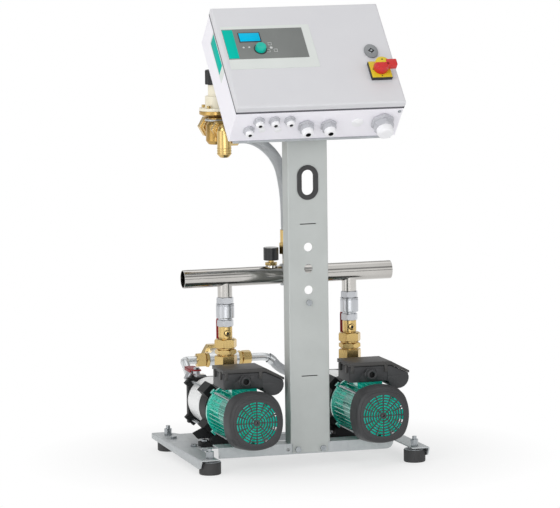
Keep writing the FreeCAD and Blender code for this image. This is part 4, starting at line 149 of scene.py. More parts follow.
def facing(direction, x=0, y=0, z=0):
    turn = Vector(direction).to_track_quat("Z", "Y").to_matrix().to_4x4()
    return shift(x, y, z) @ turn


def spin_of(degrees):
    return Matrix.Rotation(math.radians(degrees), 4, "Z")


def box_top(name):
    low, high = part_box(name)
    return Matrix.Translation(((low.x + high.x) / 2, (low.y + high.y) / 2, high.z))


# %% [markdown]
# Four shapes make nearly every piece: a profile spun round the local Z axis, a disc, an
# outline extruded into a slab with soft edges, and a nut. A nut is turned on a lathe, so
# its corners are cut by a cone: its rings follow the flats and dip towards the corners.

# %% Shapes
NUT_SIDES = 6
NUT_STEPS = 8
NUT_FACE = 0.47
NUT_SLOPE = 0.6


def place_faces(bm, faces, material, place):
    for face in faces:
        face.material_index = material
    if place is not None:
        verts = list({vert for face in faces for vert in face.verts})
        bmesh.ops.transform(bm, matrix=place, verts=verts)


def spun(bm, profile, steps=48, closed=False, material=0, place=None):
    """Spin pairs of radius and height, in millimetres, round Z."""
    verts = [bm.verts.new((radius * MM, 0, height * MM)) for radius, height in profile]
    pairs = list(zip(verts, verts[1:]))
    if closed:
        pairs.append((verts[-1], verts[0]))
    edges = [bm.edges.new(pair) for pair in pairs]
    before = set(bm.faces)
    bmesh.ops.spin(bm, geom=verts + edges, cent=(0, 0, 0), axis=(0, 0, 1), dvec=(0, 0, 0),
                   angle=math.tau, steps=steps, use_merge=True, use_normal_flip=False)
    place_faces(bm, [face for face in bm.faces if face not in before], material, place)


def disc(bm, radius, low, high, steps=48, material=0, place=None):
    spun(bm, [(0, low), (radius, low), (radius, high), (0, high)], steps, False, material, place)


def slab(bm, outline, low, high, bevel=0.0, segments=2, material=0, place=None):
    """Extrude an outline in local X and Y, in millimetres, between two heights."""
    verts = [bm.verts.new((x * MM, y * MM, low * MM)) for x, y in outline]
    face = bm.faces.new(verts)
    lifted = bmesh.ops.extrude_face_region(bm, geom=[face], use_keep_orig=True)["geom"]
    top = [item for item in lifted if isinstance(item, bmesh.types.BMVert)]
    bmesh.ops.translate(bm, vec=(0, 0, (high - low) * MM), verts=top)
    edges = list({edge for vert in verts + top for edge in vert.link_edges})
    faces = list({face for vert in verts + top for face in vert.link_faces})
    if bevel:
        made = bmesh.ops.bevel(bm, geom=edges, offset=bevel * MM, segments=segments, profile=0.5,
                               affect="EDGES", material=-1, clamp_overlap=True)
        faces = [face for face in faces if face.is_valid] + made["faces"]
    place_faces(bm, faces, material, place)


def rectangle(x0, x1, y0, y1):
    return [(x0, y0), (x1, y0), (x1, y1), (x0, y1)]


def square(half):
    return rectangle(-half, half, -half, half)


def arc(radius, start=0.0, turn=360.0, count=40, x=0.0, y=0.0, high=1.0):
    """Points along part of a circle, all round it by default; high stretches it along Y."""
    steps = count if turn == 360.0 else count + 1
    angles = [math.radians(start + turn * step / count) for step in range(steps)]
    return [(x + radius * math.cos(angle), y + radius * high * math.sin(angle))
            for angle in angles]


def nut(bm, flats, low, high, roll=0.0, bore=0.0, material=0, place=None):
    """A nut on local Z, across its flats, between two heights; bore opens its top."""
    face = flats * NUT_FACE
    roll = math.radians(roll)
    before = set(bm.faces)
    stack = [(low, 0, 0), (low, 1, 0), (high, -1, 0), (high, 0, 0)]
    if bore:
        stack += [(high, 0, bore), (low + (high - low) * 0.1, 0, bore)]
    rings = []
    for number, (height, lean, inner) in enumerate(stack):
        ring = bmesh.ops.create_circle(bm, segments=NUT_SIDES * NUT_STEPS, radius=MM,
                                       cap_ends=number in (0, len(stack) - 1),
                                       matrix=Matrix.Rotation(roll, 4, "Z"))["verts"]
        for vert in ring:
            turn = math.atan2(vert.co.y, vert.co.x)
            part = (turn - roll) % (math.tau / NUT_SIDES) - math.pi / NUT_SIDES
            out = flats / 2 / math.cos(part) if lean else inner or face
            drop = lean * (out - face) * NUT_SLOPE
            vert.co = (out * MM * math.cos(turn), out * MM * math.sin(turn), (height + drop) * MM)
        rings.append(list({edge for vert in ring for edge in vert.link_edges}))
    for first, second in zip(rings, rings[1:]):
        bmesh.ops.bridge_loops(bm, edges=first + second)
    place_faces(bm, [item for item in bm.faces if item not in before], material, place)


# %% [markdown]
# ## Shared shader groups
# Several finishes need the same effects: a soft cloud of tone, fine grain, brush lines,
# zinc crystals, and edges that are a little rounder and brighter than the flats. Each
# effect is one node group, so that all finishes stay alike and each sets its own amounts.

# %% Group helpers
def new_group(name, inputs, outputs):
    group = bpy.data.node_groups.new(name, "ShaderNodeTree")
    for label, kind, value in inputs:
        socket = group.interface.new_socket(label, in_out="INPUT", socket_type="NodeSocket" + kind)
        socket.default_value = value
    for label, kind in outputs:
        group.interface.new_socket(label, in_out="OUTPUT", socket_type="NodeSocket" + kind)
    source = group.nodes.new("NodeGroupInput")
    sink = group.nodes.new("NodeGroupOutput")
    return group, source.outputs, sink.inputs


def feed(tree, socket, value):
    """Link a socket to another one, or set it to a plain value."""
    if isinstance(value, bpy.types.NodeSocket):
        tree.links.new(value, socket)
    else:
        socket.default_value = value


def node(tree, kind, *fed, **values):
    """A new node; what is fed goes to its first sockets, and the rest is set by name."""
    made = tree.nodes.new("ShaderNode" + kind)
    for index, value in enumerate(fed):
        feed(tree, made.inputs[index], value)
    for key, value in values.items():
        if hasattr(made, key):
            setattr(made, key, value)
        else:
            feed(tree, made.inputs[key.replace("_", " ")], value)
    return made


def math_node(tree, operation, *fed, clamp=False):
    return node(tree, "Math", *fed, operation=operation, use_clamp=clamp).outputs[0]


def vector_node(tree, operation, *fed):
    return node(tree, "VectorMath", *fed, operation=operation).outputs


def object_spot(tree):
    return node(tree, "TexCoord").outputs["Object"]


# %% Tone, grain and brushing
tone_group, source, sink = new_group(
    "tone_cloud", [("Scale", "Float", 8.0), ("Contrast", "Float", 1.0)], [("Mask", "Float")])
cloud = node(tone_group, "TexNoise", Vector=object_spot(tone_group), Scale=source["Scale"],
             Detail=3.0, Roughness=0.55)
centred = math_node(tone_group, "SUBTRACT", cloud.outputs[0], 0.5)
spread = math_node(tone_group, "MULTIPLY", centred, source["Contrast"])
feed(tone_group, sink["Mask"], math_node(tone_group, "ADD", spread, 0.5, clamp=True))

grain_group, source, sink = new_group(
    "fine_grain", [("Scale", "Float", 900.0), ("Stretch", "Vector", (1, 1, 1))],
    [("Height", "Float")])
stretch = vector_node(grain_group, "MULTIPLY", object_spot(grain_group), source["Stretch"])
speckle = node(grain_group, "TexNoise", Vector=stretch[0], Scale=source["Scale"], Detail=2.0,
               Roughness=0.6)
feed(grain_group, sink["Height"], speckle.outputs[0])

# %% Zinc crystals
CRYSTAL_BEND = (0.012, 0.012, 0.012)
zinc_group, source, sink = new_group(
    "zinc_crystals", [("Scale", "Float", 90.0)], [("Tone", "Float")])
spot = object_spot(zinc_group)
wobble = node(zinc_group, "TexNoise", Vector=spot, Scale=40.0, Detail=2.0)
bent = vector_node(zinc_group, "MULTIPLY_ADD", wobble.outputs[1], CRYSTAL_BEND, spot)
cells = node(zinc_group, "TexVoronoi", feature="F1", Vector=bent[0], Scale=source["Scale"])
grey = node(zinc_group, "RGBToBW", cells.outputs["Color"])
feed(zinc_group, sink["Tone"], grey.outputs[0])

# %% [markdown]
# A machined or moulded edge is never quite sharp. The Bevel node looks round each edge
# and gives the normal that a small radius would have. Where that normal leaves the true
# one there is an edge. There the finish takes a lighter colour: partly wear, where paint
# is thin and metal is rubbed bright, and partly a painted highlight that the round edge
# would catch.

# %% Edges
edge_group, source, sink = new_group(
    "soft_edges", [("Radius", "Float", 0.0005), ("Sharpness", "Float", 3.0)],
    [("Mask", "Float"), ("Normal", "Vector")])
rounding = node(edge_group, "Bevel", samples=6, Radius=source["Radius"]).outputs[0]
true_normal = node(edge_group, "NewGeometry").outputs["Normal"]
closeness = vector_node(edge_group, "DOT_PRODUCT", rounding, true_normal)["Value"]
departure = math_node(edge_group, "SUBTRACT", 1.0, closeness)
edge_wear_and_highlight = math_node(edge_group, "MULTIPLY", departure, source["Sharpness"], clamp=True)
feed(edge_group, sink["Mask"], edge_wear_and_highlight)
feed(edge_group, sink["Normal"], rounding)

# %% [markdown]
# ## Finishes
# A finish is a Principled shader with these groups round it. Two near tones are mixed by
# the cloud, edges take a third, lighter colour, partly wear and partly a painted highlight,
# and the grain drives a small bump. Numbers that are the same all over are set straight
# on the shader.

# %% Colour and finish helpers
MICRON = 0.000001
TONE_CONTRAST = 1.6


def shown(red, green, blue):
    """A colour as it looks on a screen, 0 to 255, as the linear value a shader wants."""
    return tuple(((part / 255 + 0.055) / 1.055) ** 2.4 if part > 10 else part / 3294.6
                 for part in (red, green, blue)) + (1.0,)


def use_group(tree, group, **values):
    made = tree.nodes.new("ShaderNodeGroup")
    made.node_tree = group
    for key, value in values.items():
        made.inputs[key].default_value = value
    return made.outputs


def blend_colours(tree, mask, first, second):
    """A colour mixed by a mask; each side is a colour or a socket."""
    made = node(tree, "Mix", mask, data_type="RGBA")
    feed(tree, made.inputs[6], first)
    feed(tree, made.inputs[7], second)
    return made.outputs[2]


def new_material(name):
    material = bpy.data.materials.new(name)
    material.use_nodes = True
    FINISH[name] = material
    return material.node_tree, material.node_tree.nodes["Principled BSDF"]


def finish(name, light, dark, rough, metal=0.0, cloud=14.0, grain=900.0, stretch=(1, 1, 1),
           relief=20.0, edge=None, radius=0.4, **sockets):
    """A finish from two tones, a range of roughness, grain and an edge colour.

    Relief is in micrometres and the radius of the edges in millimetres.
    """
    tree, shader = new_material(name)
    mask = use_group(tree, tone_group, Scale=cloud, Contrast=TONE_CONTRAST)["Mask"]
    specks = use_group(tree, grain_group, Scale=grain, Stretch=stretch)["Height"]
    edges = use_group(tree, edge_group, Radius=radius * MM)
    colour = blend_colours(tree, mask, shown(*dark), shown(*light))
    # Edges take the lighter edge colour: wear, and a painted highlight along them.
    if edge is not None:
        colour = blend_colours(tree, edges["Mask"], colour, shown(*edge))
    both = math_node(tree, "ADD", math_node(tree, "MULTIPLY", mask, 0.5),
                     math_node(tree, "MULTIPLY", specks, 0.5))
    spread = node(tree, "MapRange", Value=both, To_Min=rough[0], To_Max=rough[1])
    bump = node(tree, "Bump", Strength=1.0, Distance=relief * MICRON, Height=specks,
                Normal=edges["Normal"])
    sockets.update(Metallic=metal, Base_Color=colour, Roughness=spread.outputs[0],
                   Normal=bump.outputs[0])
    for key, value in sockets.items():
        feed(tree, shader.inputs[key.replace("_", " ")], value)
    return tree, shader


# %% [markdown]
# Sheet steel comes in two finishes here. The base is hot-dip galvanised, with the faint
# crystals that zinc leaves. The column shows straight rolling lines along its length,
# which is grain stretched a hundred times in one direction.

# %% Metals
finish("rolled_sheet", (195, 199, 197), (182, 186, 184), (0.42, 0.62), metal=0.3, grain=1400.0,
       stretch=(1, 1, 0.01), relief=12.0, edge=(230, 234, 234))
finish("zinc_bolts", (186, 190, 193), (140, 146, 150), (0.16, 0.32), metal=1.0, cloud=60.0,
       relief=10.0, edge=(226, 230, 233))
finish("stainless_tube", (206, 204, 200), (188, 185, 181), (0.07, 0.16), metal=1.0, grain=1100.0,
       stretch=(0.02, 1, 1), relief=4.0, edge=(232, 232, 232))
finish("nickel_brass", (206, 208, 212), (192, 195, 199), (0.24, 0.34), metal=1.0, cloud=9.0,
       relief=2.0, edge=(226, 228, 230), radius=0.3)
finish("machined_brass", (222, 194, 132), (206, 176, 114), (0.2, 0.3), metal=1.0, cloud=12.0,
       relief=4.0, edge=(246, 228, 176), radius=0.3)
finish("forged_brass", (208, 174, 108), (172, 136, 74), (0.2, 0.34), metal=1.0, cloud=22.0,
       grain=620.0, relief=10.0, edge=(244, 224, 168), radius=0.5)
finish("bearing_steel", (196, 198, 200), (170, 172, 174), (0.2, 0.3), metal=1.0,
       stretch=(1, 0.05, 1), relief=6.0)
finish("pressed_sleeve", (252, 253, 253), (244, 245, 245), (0.26, 0.4), metal=0.1,
       stretch=(1, 0.03, 1), relief=4.0)
finish("bright_tube", (238, 241, 242), (224, 228, 230), (0.16, 0.28), metal=0.6, grain=700.0,
       relief=6.0)
# Painted shade: a dark grey seal strip that stands for the shade in the door gap.
finish("seal_gap_shade", (98, 97, 104), (86, 85, 92), (0.5, 0.7), relief=30.0)
finish("copper_winding", (150, 92, 60), (112, 62, 40), (0.35, 0.55), metal=0.4, grain=500.0,
       stretch=(1, 0.1, 1), relief=60.0)

# %% Galvanised sheet
CRYSTAL_SHARE = 0.35
tree, shader = finish("galvanised_sheet", (204, 208, 209), (186, 190, 192), (0.34, 0.55),
                      metal=0.45, cloud=10.0, grain=1200.0, relief=10.0, edge=(232, 236, 238))
crystals = use_group(tree, zinc_group, Scale=110.0)["Tone"]
plain = shader.inputs["Base Color"].links[0].from_socket
zinc = blend_colours(tree, math_node(tree, "MULTIPLY", crystals, CRYSTAL_SHARE), plain,
                     shown(158, 164, 168))
feed(tree, shader.inputs["Base Color"], zinc)

# %% [markdown]
# Paints and plastics differ mainly in gloss and in the size of their texture. Powder
# coat has a soft orange peel, cast iron shows coarse sand under its paint, and moulded
# plastic has a fine spark texture that breaks up every reflection.

# %% Paints, castings, plastics and rubber
finish("cabinet_paint", (252, 250, 255), (247, 245, 253), (0.32, 0.42), cloud=6.0, grain=420.0,
       edge=(255, 255, 255))
finish("door_paint", (222, 222, 225), (217, 217, 221), (0.34, 0.44), cloud=6.0, grain=420.0,
       edge=(240, 240, 243))
finish("cream_paint", (250, 244, 224), (240, 232, 208), (0.3, 0.45), grain=500.0, relief=40.0,
       edge=(254, 250, 236), radius=0.8)
finish("teal_paint", (36, 214, 192), (0, 170, 150), (0.06, 0.12), metal=0.25, cloud=30.0,
       grain=700.0, relief=10.0, edge=(228, 255, 250), radius=0.9, Coat_Weight=1.0,
       Coat_Roughness=0.05)
finish("teal_plastic", (0, 196, 174), (0, 184, 164), (0.28, 0.38), relief=14.0)
# Painted light: a lighter teal with a faint glow, for the light the fan gets behind the grille.
finish("glowing_fan_plastic", (30, 236, 212), (10, 222, 198), (0.3, 0.42),
       Emission_Color=shown(0, 216, 190), Emission_Strength=0.16)
finish("black_casting", (30, 31, 33), (20, 21, 22), (0.42, 0.58), cloud=40.0, grain=380.0,
       relief=60.0, edge=(78, 80, 82), radius=0.7, Specular_IOR_Level=0.25)
finish("light_casting", (156, 159, 161), (138, 141, 144), (0.32, 0.48), metal=0.4, grain=420.0,
       relief=30.0, edge=(190, 193, 195))
finish("dark_plastic", (56, 57, 59), (48, 48, 50), (0.42, 0.55), cloud=22.0, grain=800.0,
       relief=50.0, edge=(88, 89, 91))
finish("lid_plastic", (68, 67, 66), (58, 57, 56), (0.4, 0.54), cloud=22.0, grain=800.0,
       relief=50.0, edge=(108, 108, 107))
finish("black_plastic", (40, 41, 43), (28, 29, 31), (0.3, 0.42), grain=800.0, relief=30.0,
       edge=(84, 85, 87))
finish("foot_rubber", (62, 62, 63), (50, 50, 51), (0.5, 0.7), cloud=30.0, grain=500.0,
       relief=60.0, edge=(92, 92, 93), radius=1.0)
finish("red_grip", (158, 22, 30), (128, 16, 22), (0.36, 0.5), cloud=40.0, grain=450.0,
       relief=40.0, edge=(190, 62, 66), radius=0.6, Specular_IOR_Level=0.35)
finish("red_plastic", (216, 46, 46), (198, 34, 36), (0.28, 0.4), edge=(232, 96, 92))
finish("yellow_plastic", (232, 206, 40), (220, 192, 30), (0.3, 0.42), edge=(244, 228, 110))
# Painted shade: the gland hexagons are a darker copy of the cap plastic.
finish("gland_plastic", (198, 199, 204), (184, 185, 190), (0.36, 0.48), relief=30.0,
       edge=(236, 236, 240))
finish("gland_cap", (250, 250, 252), (244, 244, 247), (0.36, 0.48), relief=30.0)
finish("device_plastic", (214, 215, 214), (200, 201, 200), (0.4, 0.5), relief=30.0)
# Painted shade: a flat near black for holes, slits and joints where only shade falls.
finish("hollow_dark", (20, 20, 21), (12, 12, 13), (0.6, 0.7))

# %% Films, dial and display
finish("label_film", (226, 230, 227), (221, 225, 222), (0.4, 0.5), relief=8.0)
finish("field_film", (134, 137, 135), (126, 129, 127), (0.5, 0.6), relief=8.0,
       Specular_IOR_Level=0.15)
finish("teal_film", (0, 196, 178), (0, 188, 170), (0.5, 0.6), relief=8.0, Specular_IOR_Level=0.1)
finish("mark_film", (214, 216, 215), (204, 206, 205), (0.4, 0.5))
finish("display_blue", (0, 186, 226), (0, 176, 218), (0.3, 0.4), relief=2.0,
       Specular_IOR_Level=0.1, Emission_Color=shown(0, 190, 228), Emission_Strength=0.12)
finish("dial_white", (242, 242, 240), (236, 236, 234), (0.4, 0.5))

tree, shader = new_material("gauge_glass")
shader.inputs["Transmission Weight"].default_value = 1.0
shader.inputs["IOR"].default_value = 1.45
smears = use_group(tree, tone_group, Scale=60.0, Contrast=1.4)["Mask"]
spread = node(tree, "MapRange", Value=smears, To_Min=0.01, To_Max=0.05)
feed(tree, shader.inputs["Roughness"], spread.outputs[0])

# %% [markdown]
# The hoses are covered with a woven steel braid. Its strands run round the hose in two
# opposite spirals, so the pattern has to follow the tube: the tube's own UV map gives
# turns round it and metres along it. Two slanted waves cross there, and a third wave
# decides which of the two lies on top.

# %% Braid
BRAID_STRANDS = 16.0
BRAID_PITCH = 0.034
tree, shader = finish("hose_braid", (226, 229, 231), (200, 204, 207), (0.24, 0.4), metal=0.5,
                      cloud=50.0, relief=10.0)


def braid_math(operation, *fed):
    return math_node(tree, operation, *fed)


def wave(amount):
    swing = braid_math("SINE", braid_math("MULTIPLY", amount, math.tau))
    return braid_math("ADD", braid_math("MULTIPLY", swing, 0.5), 0.5)


parts = node(tree, "SeparateXYZ", node(tree, "UVMap", uv_map="tube").outputs[0]).outputs
turns = braid_math("MULTIPLY", parts[0], BRAID_STRANDS)
rise = braid_math("MULTIPLY", parts[1], BRAID_STRANDS / BRAID_PITCH)
one_way = wave(braid_math("ADD", turns, rise))
other_way = wave(braid_math("SUBTRACT", turns, rise))
on_top = braid_math("GREATER_THAN", wave(braid_math("MULTIPLY", turns, 2.0)), 0.5)
weave = braid_math("ADD", braid_math("MULTIPLY", one_way, on_top),
                   braid_math("MULTIPLY", other_way, braid_math("SUBTRACT", 1.0, on_top)))
# Painted shade: the colour darkens to grey where the weave dips between strands.
strand_shade = braid_math("MULTIPLY", braid_math("SUBTRACT", 1.0, weave), 0.75)
plain = shader.inputs["Base Color"].links[0].from_socket
feed(tree, shader.inputs["Base Color"], blend_colours(tree, strand_shade, plain, shown(112, 115, 120)))
bump = node(tree, "Bump", Strength=0.8, Distance=0.0006, Height=weave)
feed(tree, shader.inputs["Normal"], bump.outputs[0])

# %% [markdown]
# ## The two hoses
# Both hoses are held at each end by a ferrule, so they hang nowhere free. One NURBS
# line through the chosen points gives the route, and a tube with its own UV map is swept
# along points read from that line.

# %% Hoses
TUBE_SIDES = 32
OVERFLOW_ROUTE = [(0, 0.008, 0.527), (0, 0.008, 0.57), (-0.0025, 0.008, 0.612),
                  (-0.008, 0.008, 0.648), (-0.0145, 0.008, 0.675), (-0.0275, 0.008, 0.699),
                  (-0.045, 0.008, 0.718), (-0.063, 0.008, 0.7315), (-0.08, 0.008, 0.7395),
                  (-0.097, 0.008, 0.7435), (-0.114, 0.008, 0.7435)]
SUCTION_ROUTE = [(0.043, 0.382, 0.179), (0.058, 0.382, 0.179), (0.073, 0.382, 0.17),
                 (0.089, 0.3818, 0.152), (0.109, 0.379, 0.14), (0.13, 0.369, 0.14),
                 (0.144, 0.352, 0.146), (0.15, 0.332, 0.15), (0.15, 0.312, 0.15)]


def route_points(name, route):
    """Points read from the smooth line that the route's points control."""
    curve = bpy.data.curves.new(name, "CURVE")
    curve.dimensions = "3D"
    curve.resolution_u = 10
    spline = curve.splines.new("NURBS")
    spline.points.add(len(route) - 1)
    for point, spot in zip(spline.points, route):
        point.co = (*spot, 1)
    spline.order_u = 3
    spline.use_endpoint_u = True
    holder = bpy.data.objects.new(name, curve)
    scene.collection.objects.link(holder)
    bpy.context.view_layer.update()
    graph = bpy.context.evaluated_depsgraph_get()
    line = bpy.data.meshes.new_from_object(holder.evaluated_get(graph))
    spots = [vert.co.copy() for vert in line.vertices]
    bpy.data.objects.remove(holder)
    bpy.data.meshes.remove(line)
    return spots


def tube_along(name, spots, radius, finish_name, replaced=()):
    """Circles along the points, bridged, with turns round and metres along as UV."""
    bm = bmesh.new()
    heading = (spots[1] - spots[0]).normalized()
    side = heading.orthogonal().normalized()
    along = [0.0]
    rings = []
    for index, spot in enumerate(spots):
        if index:
            along.append(along[-1] + (spot - spots[index - 1]).length)
        ahead_way = spots[min(index + 1, len(spots) - 1)] - spots[max(index - 1, 0)]
        ahead_way.normalize()
        side = (heading.rotation_difference(ahead_way) @ side).normalized()
        heading = ahead_way
        turn = Matrix((side, heading.cross(side), heading)).transposed().to_4x4()
        ring = bmesh.ops.create_circle(bm, segments=TUBE_SIDES, radius=radius,
                                       matrix=Matrix.Translation(spot) @ turn)["verts"]
        rings.append(list({edge for vert in ring for edge in vert.link_edges}))
    bm.verts.index_update()
    for low, high in zip(rings, rings[1:]):
        bmesh.ops.bridge_loops(bm, edges=low + high)
    layer = bm.loops.layers.uv.new("tube")
    for face in bm.faces:
        steps = [vert.index % TUBE_SIDES for vert in face.verts]
        wraps = max(steps) - min(steps) > 1
        for loop, step in zip(face.loops, steps):
            part = TUBE_SIDES if wraps and step == 0 else step
            loop[layer].uv = (part / TUBE_SIDES, along[loop.vert.index // TUBE_SIDES])
    print(name, "length", round(along[-1], 3), "m")
    to_piece(bm, name, finish_name, "frame", replaced, crease=60)


def split_at(spots, distance):
    """The points before and after a distance along them, with the point there in both."""
    gone = 0.0
    for index, (near, far) in enumerate(zip(spots, spots[1:])):
        step = (far - near).length
        if gone + step >= distance:
            cut = near.lerp(far, (distance - gone) / step)
            return spots[:index + 1] + [cut], [cut] + spots[index + 1:]
        gone += step


TAIL_LONG = 0.022
CRIMP_LONG = 0.014
tube_along("overflow_hose_braided", route_points("overflow_route", OVERFLOW_ROUTE), 0.013,
           "hose_braid", ["overflow_hose"])
bare, covered = split_at(route_points("suction_route", SUCTION_ROUTE), TAIL_LONG)
collar, covered = split_at(covered, CRIMP_LONG)
tube_along("hose_tail_tube", bare, 0.0095, "bright_tube")
tube_along("hose_crimp", collar, 0.0122, "bright_tube")
tube_along("suction_hose_braided", covered, 0.0112, "hose_braid",
           ["suction_hose"])

# %% [markdown]
# ## Dressing the frame's own pieces
# The rigid pieces have the right shape already, so they stay, and each gets a finish.
# A Weld joins their loose triangles and a planar Decimate turns them back into whole
# flats, so that a narrow Bevel can break the sharp edges, as deburring does. Weighted
# normals then keep the flats flat and let the light turn only on the rounded edges.

# %% Dress the nodes
FLAT_ANGLE = math.radians(0.6)
SHARP_ANGLE = math.radians(35)
DRESS = {
    "galvanised_sheet": (0.5, "base_side_plate_left", "base_side_plate_right", "front_cross_rail",
                         "rear_cross_rail", "cabinet_bracket", "valve_arm"),
    "rolled_sheet": (0.5, "column"),
    "foot_rubber": (0.9, "rubber_feet", "column_grommet"),
    "zinc_bolts": (0.35, "base_fasteners", "tie_rods", "hinge_arms", "hinge_pins", "door_lock"),
    "stainless_tube": (0.3, "manifold_pipe"),
    "bright_tube": (0.3, "suction_pipes", "suction_tee"),
    "nickel_brass": (0.6, "suction_valves"),
    "machined_brass": (0.6, "gauge_socket", "discharge_valves", "overflow_fittings"),
    "forged_brass": (0.8, "overflow_valve_body"),
    "black_plastic": (0.6, "gauge_case"),
    "red_plastic": (0.1, "gauge_needle"),
    "teal_paint": (0.3, "motor_frames", "motor_shields"),
    "black_casting": (0.8, "lanterns", "pump_feet", "suction_covers"),
    "bearing_steel": (0.2, "pump_shaft_left", "pump_shaft_right", "motor_bearings"),
    "copper_winding": (0.3, "motor_stators"),
    "cream_paint": (1.0, "overflow_valve_bonnet"),
    "cabinet_paint": (0.9, "cabinet_shell"),
    "door_paint": (0.5, "cabinet_door"),
    "label_film": (0.3, "control_panel"),
    "device_plastic": (0.8, "switchgear"),
}


def dress(name, finish_name, width):
    piece = nodes[name]
    mesh = piece.data
    mesh.materials.clear()
    mesh.materials.append(FINISH[finish_name])
    if "custom_normal" in mesh.attributes:
        mesh.attributes.remove(mesh.attributes["custom_normal"])
    mesh.shade_smooth()
    weld = piece.modifiers.new("weld", "WELD")
    weld.merge_threshold = SAME_SPOT
    flats = piece.modifiers.new("flats", "DECIMATE")
    flats.decimate_type = "DISSOLVE"
    flats.angle_limit = FLAT_ANGLE
    bevel = piece.modifiers.new("deburr", "BEVEL")
    bevel.width = width * MM
    bevel.segments = 2
    bevel.limit_method = "ANGLE"
    bevel.angle_limit = SHARP_ANGLE
    bevel.use_clamp_overlap = False
    weighted = piece.modifiers.new("weighted", "WEIGHTED_NORMAL")
    weighted.mode = "FACE_AREA"


for finish_name, (width, *names) in DRESS.items():
    for name in names:
        dress(name, finish_name, width)
print("dressed", sum(len(names) - 1 for names in DRESS.values()), "nodes")

# %% [markdown]
# ## Fan covers
# Each motor ends in a moulded cover: a rounded square that swells from a flat round
# grille. A grille can be cut with Booleans, but a spun grid is cleaner. A row of edges is
# spun into rings, the faces that fall in a slot are deleted, and the outer ring is
# extruded again and again, each time on to the next outline of the cover.

# %% Fan covers
PUMP_X = 150.0
SHAFT_Z = 120.0
COVER_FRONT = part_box("fan_covers")[0].y / MM + 0.8
SPIN_STEPS = 96
HUB_RADII = [2.5, 5.0]
SLOT_START = 7.5
SLOT_PITCH = 6.1
SLOT_WIDE = 3.7
SPOKES = (8, 8, 8, 16, 16, 16, 16)
SPOKE_DEGREES = (4.0, 4.0, 1.0, 1.0, 1.0, 1.0, 1.0)
GRILLE_EDGE = 50.0
COVER_RINGS = [(54.2, 0.0), (54.9, 0.4), (55.3, 1.6), (58.4, 2.1), (61.6, 3.8), (63.3, 7.5),
               (64.4, 13.0), (67.6, 41.0)]
COVER_WALL = 2.4
SIDE_BOW = 1.53
CORNER_SOFT = 0.11


def bowed(direction, half):
    """How far a square with bowed sides and soft corners reaches from its middle."""
    bow = half * SIDE_BOW
    reach = []
    for along, off in ((direction.x, direction.y), (direction.y, direction.x)):
        reach.append((half - bow) * abs(along) + math.sqrt(bow ** 2 - ((bow - half) * off) ** 2))
    soft = half * CORNER_SOFT
    near = max(soft - abs(reach[0] - reach[1]), 0) / soft
    return min(reach) - near ** 2 * soft / 4


def in_slot(centre):
    """True where the grille is open: inside a ring of slots and away from a spoke."""
    radius = math.hypot(centre.x, centre.y) / MM
    ring = int((radius - SLOT_START) // SLOT_PITCH)
    if ring not in range(len(SPOKES)) or (radius - SLOT_START) % SLOT_PITCH > SLOT_WIDE:
        return False
    gap = 360 / SPOKES[ring]
    turn = math.degrees(math.atan2(centre.y, centre.x)) % gap
    return min(turn, gap - turn) > SPOKE_DEGREES[ring]


grille = [(radius, 0) for radius in HUB_RADII]
for ring in range(len(SPOKES)):
    inner = SLOT_START + SLOT_PITCH * ring
    grille += [(inner, 0), (inner + SLOT_WIDE, 0)]
grille.append((GRILLE_EDGE, 0))
for side_name, side in SIDES:
    bm = bmesh.new()
    spun(bm, grille, SPIN_STEPS)
    bmesh.ops.remove_doubles(bm, verts=bm.verts, dist=SAME_SPOT)
    bmesh.ops.transform(bm, matrix=spin_of(180 / SPIN_STEPS), verts=bm.verts)
    rim = [edge for edge in bm.edges if edge.is_boundary
           and edge.verts[0].co.length > (GRILLE_EDGE - 1) * MM]
    for half, back in COVER_RINGS:
        grown = bmesh.ops.extrude_edge_only(bm, edges=rim)["geom"]
        rim = [item for item in grown if isinstance(item, bmesh.types.BMEdge)]
        for vert in (item for item in grown if isinstance(item, bmesh.types.BMVert)):
            direction = Vector((vert.co.x, vert.co.y, 0)).normalized()
            vert.co = direction * bowed(direction, half) * MM
            vert.co.z = back * MM
    open_faces = [face for face in bm.faces if in_slot(face.calc_center_median())]
    bmesh.ops.delete(bm, geom=open_faces, context="FACES")
    place = shift(PUMP_X * side, COVER_FRONT, SHAFT_Z) @ Matrix.Rotation(-math.pi / 2, 4, "X")
    piece = to_piece(bm, "fan_cover_" + side_name, "dark_plastic", "frame",
                     ["fan_covers"], place)
    wall = piece.modifiers.new("wall", "SOLIDIFY")
    wall.thickness = COVER_WALL * MM
    wall.offset = -1
    wall.use_even_offset = True
    settle(piece)
print("fan covers:", len(open_faces), "faces cut from each grille")

# %% [markdown]
# The fan behind the grille is moulded plastic: a back plate, nine straight blades, and on
# each blade a broad tip plate that faces the slots. It shows as bright bars with dark
# gaps between them, and it turns with the shaft, so it rides on the rotor. Its plastic is
# lighter than the real teal and glows faintly: painted light, as if it were lit behind
# the grille.

# %% Fans
FAN_BLADES = 9
FAN_HUB = 7.0
FAN_PLATE = 47.0
fan_low, fan_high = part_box("fan_left")
FAN_TALL = (fan_high.y - fan_low.y) / MM
for side_name, side in SIDES:
    bm = bmesh.new()
    spun(bm, [(FAN_HUB, 0), (FAN_PLATE, 0), (FAN_PLATE, 2.0), (12.0, 2.4), (10.5, 4.0),
              (10.0, FAN_TALL - 1.0), (FAN_HUB, FAN_TALL)], closed=True)
    for blade in range(FAN_BLADES):
        turn = spin_of(360 * blade / FAN_BLADES)
        slab(bm, rectangle(9.0, 48.0, -1.1, 1.1), 1.5, FAN_TALL - 1.0, place=turn)
        slab(bm, arc(49.5, -15, 30, 6) + arc(11.0, 15, -30, 6), FAN_TALL - 2.4, FAN_TALL, 0.4,
             place=turn)
    to_piece(bm, "fan_wheel_" + side_name, "glowing_fan_plastic", "rotor_" + side_name,
             ["fan_" + side_name],
             facing((0, -1, 0), PUMP_X * side, fan_high.y / MM, SHAFT_Z))

